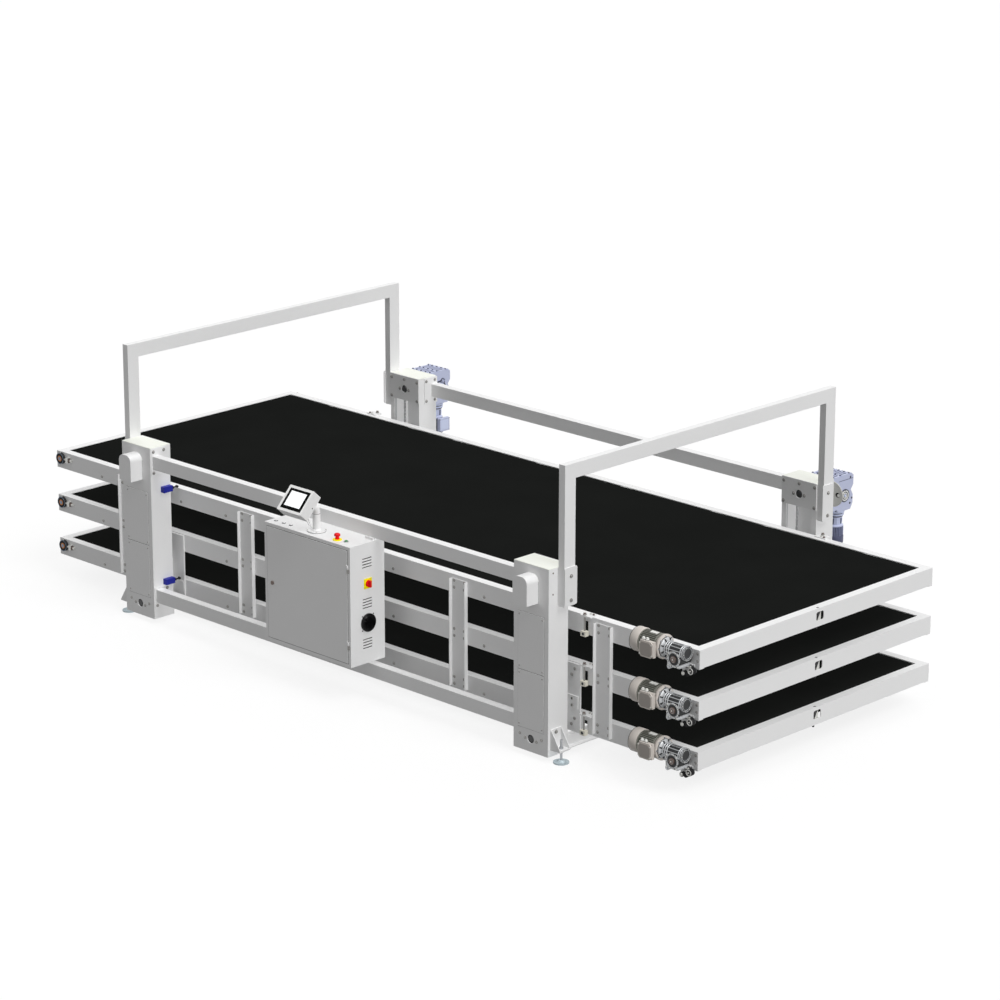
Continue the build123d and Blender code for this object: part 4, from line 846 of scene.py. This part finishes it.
# Louvres: slots drawn dark as painted shade, with a pale lip over each
slot_x = (459.6, 461.2)
for row_z in LOUVRE_ROWS:
    for k in range(4):
        z = row_z + (k - 1.5) * 19
        fit.box((CAB_SIDE - 2.5, CAB_SIDE), (LOUVRE_Y - 41, LOUVRE_Y + 41), (z + 4.5, z + 6.5), "case")
        fit.box(slot_x, (LOUVRE_Y - 44, LOUVRE_Y + 44), (z - 6.6, z + 4.6), "gloss_black")
# Screws of the post flange and of the front columns
for dx, dy in ((-42, -42), (42, -42), (-42, 42), (42, 42)):
    fit.bolt("z", 5, flange_z, 4, POST_X + dx, POST_Y + dy, "bright", False)
for side in (-1, 1):
    for z in (1075, 1210):
        fit.bolt("x", 5.5, side * COL_SIDE, side * 3, -1305, z, "shaft_end", False)
# Screws and ring of the switch plate
for dy in (-25, 25):
    for dz in (-25, 25):
        fit.rod("x", 3, plate_x, plate_x + 1.1, SWITCH_Y + dy, SWITCH_Z + dz, "steel", 14)
fit.ring("x", 26, 23, plate_x, plate_x + 1.5, SWITCH_Y, SWITCH_Z, "yellow", 40)
# Lamps, and rings round what stands on the cabinet's top; the dark rings round the lamps and the post are
# painted shade
for x in LAMP_X:
    fit.lathe("z", [(CAB_TOP + 5, 9), (CAB_TOP + 7, 8), (CAB_TOP + 9.5, 5)], x, LAMP_Y, "case", 20)
    fit.ring("z", 13, 9.2, CAB_TOP, CAB_TOP + 1.5, x, LAMP_Y, "seam_shade", 24)
fit.ring("z", 17, 15.2, CAB_TOP, CAB_TOP + 2, START_X, START_Y, "bright", 28)
fit.ring("z", 62, 59, CAB_TOP, CAB_TOP + 1.5, POST_X, POST_Y, "seam_shade", 48)
fit.done("stand", 0.3)

# Shadow gaps: dark strips of painted shadow round the door and round the panels and hoods of the front
# columns
shadow_gaps = Part("shadow_gaps")


def shadow_gap_frame(x0, x1, z0, z1, y, w):
    """Thin dark strip of painted shadow on the face at y, just outside a panel."""
    deep = (y - 0.15, y + 1)
    for x in ((x0 - w, x0), (x1, x1 + w)):
        shadow_gaps.box(x, deep, (z0 - w, z1 + w), "seam_shade")
    for z in ((z0 - w, z0), (z1, z1 + w)):
        shadow_gaps.box((x0, x1), deep, z, "seam_shade")


panel_half, hood_half = 109, 60
shadow_gap_frame(*DOOR_X, *DOOR_Z, CAB_FRONT, 3.6)
for xc in (-COL_X, COL_X):
    for panel_z in COLUMN_PANELS:
        shadow_gap_frame(xc - panel_half, xc + panel_half, *panel_z, -COL_OUT, 1.9)
    shadow_gap_frame(xc - hood_half, xc + hood_half, 1008, 1144, -COL_OUT, 1.5)
shadow_gaps.done("stand", 0)

# Floor and light
floor_mesh = bpy.data.meshes.new("floor")
floor_mesh.from_pydata([(-90, -90, 0), (90, -90, 0), (90, 90, 0), (-90, 90, 0)], [], [(0, 1, 2, 3)])
floor = bpy.data.objects.new("floor", floor_mesh)
scene.collection.objects.link(floor)


def seen_ray(tree):
    """One for the rays that show the background: camera, glossy and transmission."""
    path = node(tree, "ShaderNodeLightPath")
    first = node(tree, "ShaderNodeMath", operation="MAXIMUM")
    both = node(tree, "ShaderNodeMath", operation="MAXIMUM")
    tree.links.new(path.outputs["Is Camera Ray"], first.inputs[0])
    tree.links.new(path.outputs["Is Glossy Ray"], first.inputs[1])
    tree.links.new(first.outputs[0], both.inputs[0])
    tree.links.new(path.outputs["Is Transmission Ray"], both.inputs[1])
    return both.outputs[0]


def floor_material():
    mat = bpy.data.materials.new("floor")
    mat.use_nodes = True
    tree = mat.node_tree
    tree.nodes.clear()
    out = node(tree, "ShaderNodeOutputMaterial")
    seen = seen_ray(tree)
    pale = node(tree, "ShaderNodeBsdfDiffuse", Color=(0.93, 0.93, 0.93, 1))
    glow = node(tree, "ShaderNodeEmission", Color=(1, 1, 1, 1), Strength=1.06)
    dim = node(tree, "ShaderNodeBsdfDiffuse", Color=(0.2, 0.2, 0.2, 1))
    shown = node(tree, "ShaderNodeMixShader", Fac=0.65)
    both = node(tree, "ShaderNodeMixShader")
    link = tree.links.new
    link(pale.outputs[0], shown.inputs[1])
    link(glow.outputs[0], shown.inputs[2])
    link(seen, both.inputs[0])
    link(dim.outputs[0], both.inputs[1])
    link(shown.outputs[0], both.inputs[2])
    link(both.outputs[0], out.inputs["Surface"])
    return mat


floor_mesh.materials.append(floor_material())


def world_light(strength):
    world = bpy.data.worlds.new("studio")
    scene.world = world
    world.use_nodes = True
    tree = world.node_tree
    back = tree.nodes["Background"]
    back.inputs["Color"].default_value = (1, 1, 1, 1)
    level = node(tree, "ShaderNodeMapRange")
    level.inputs["To Min"].default_value = strength
    level.inputs["To Max"].default_value = 1.0
    tree.links.new(seen_ray(tree), level.inputs["Value"])
    tree.links.new(level.outputs["Result"], back.inputs["Strength"])


world_light(0.32)


def sun(name, towards, strength, angle, shadow=True):
    lamp = bpy.data.lights.new(name, "SUN")
    lamp.energy = strength * math.pi
    lamp.angle = math.radians(angle)
    lamp.use_shadow = shadow
    obj = bpy.data.objects.new(name, lamp)
    obj.rotation_euler = Vector(towards).to_track_quat("Z", "Y").to_euler()
    scene.collection.objects.link(obj)


sun("key", (0.50, -0.02, 0.62), 0.22, 30)
sun("fill", (0.50, -0.02, 0.62), 0.61, 30, shadow=False)
sun("back_fill", (-0.7, 0.6, 0.2), 0.10, 60)
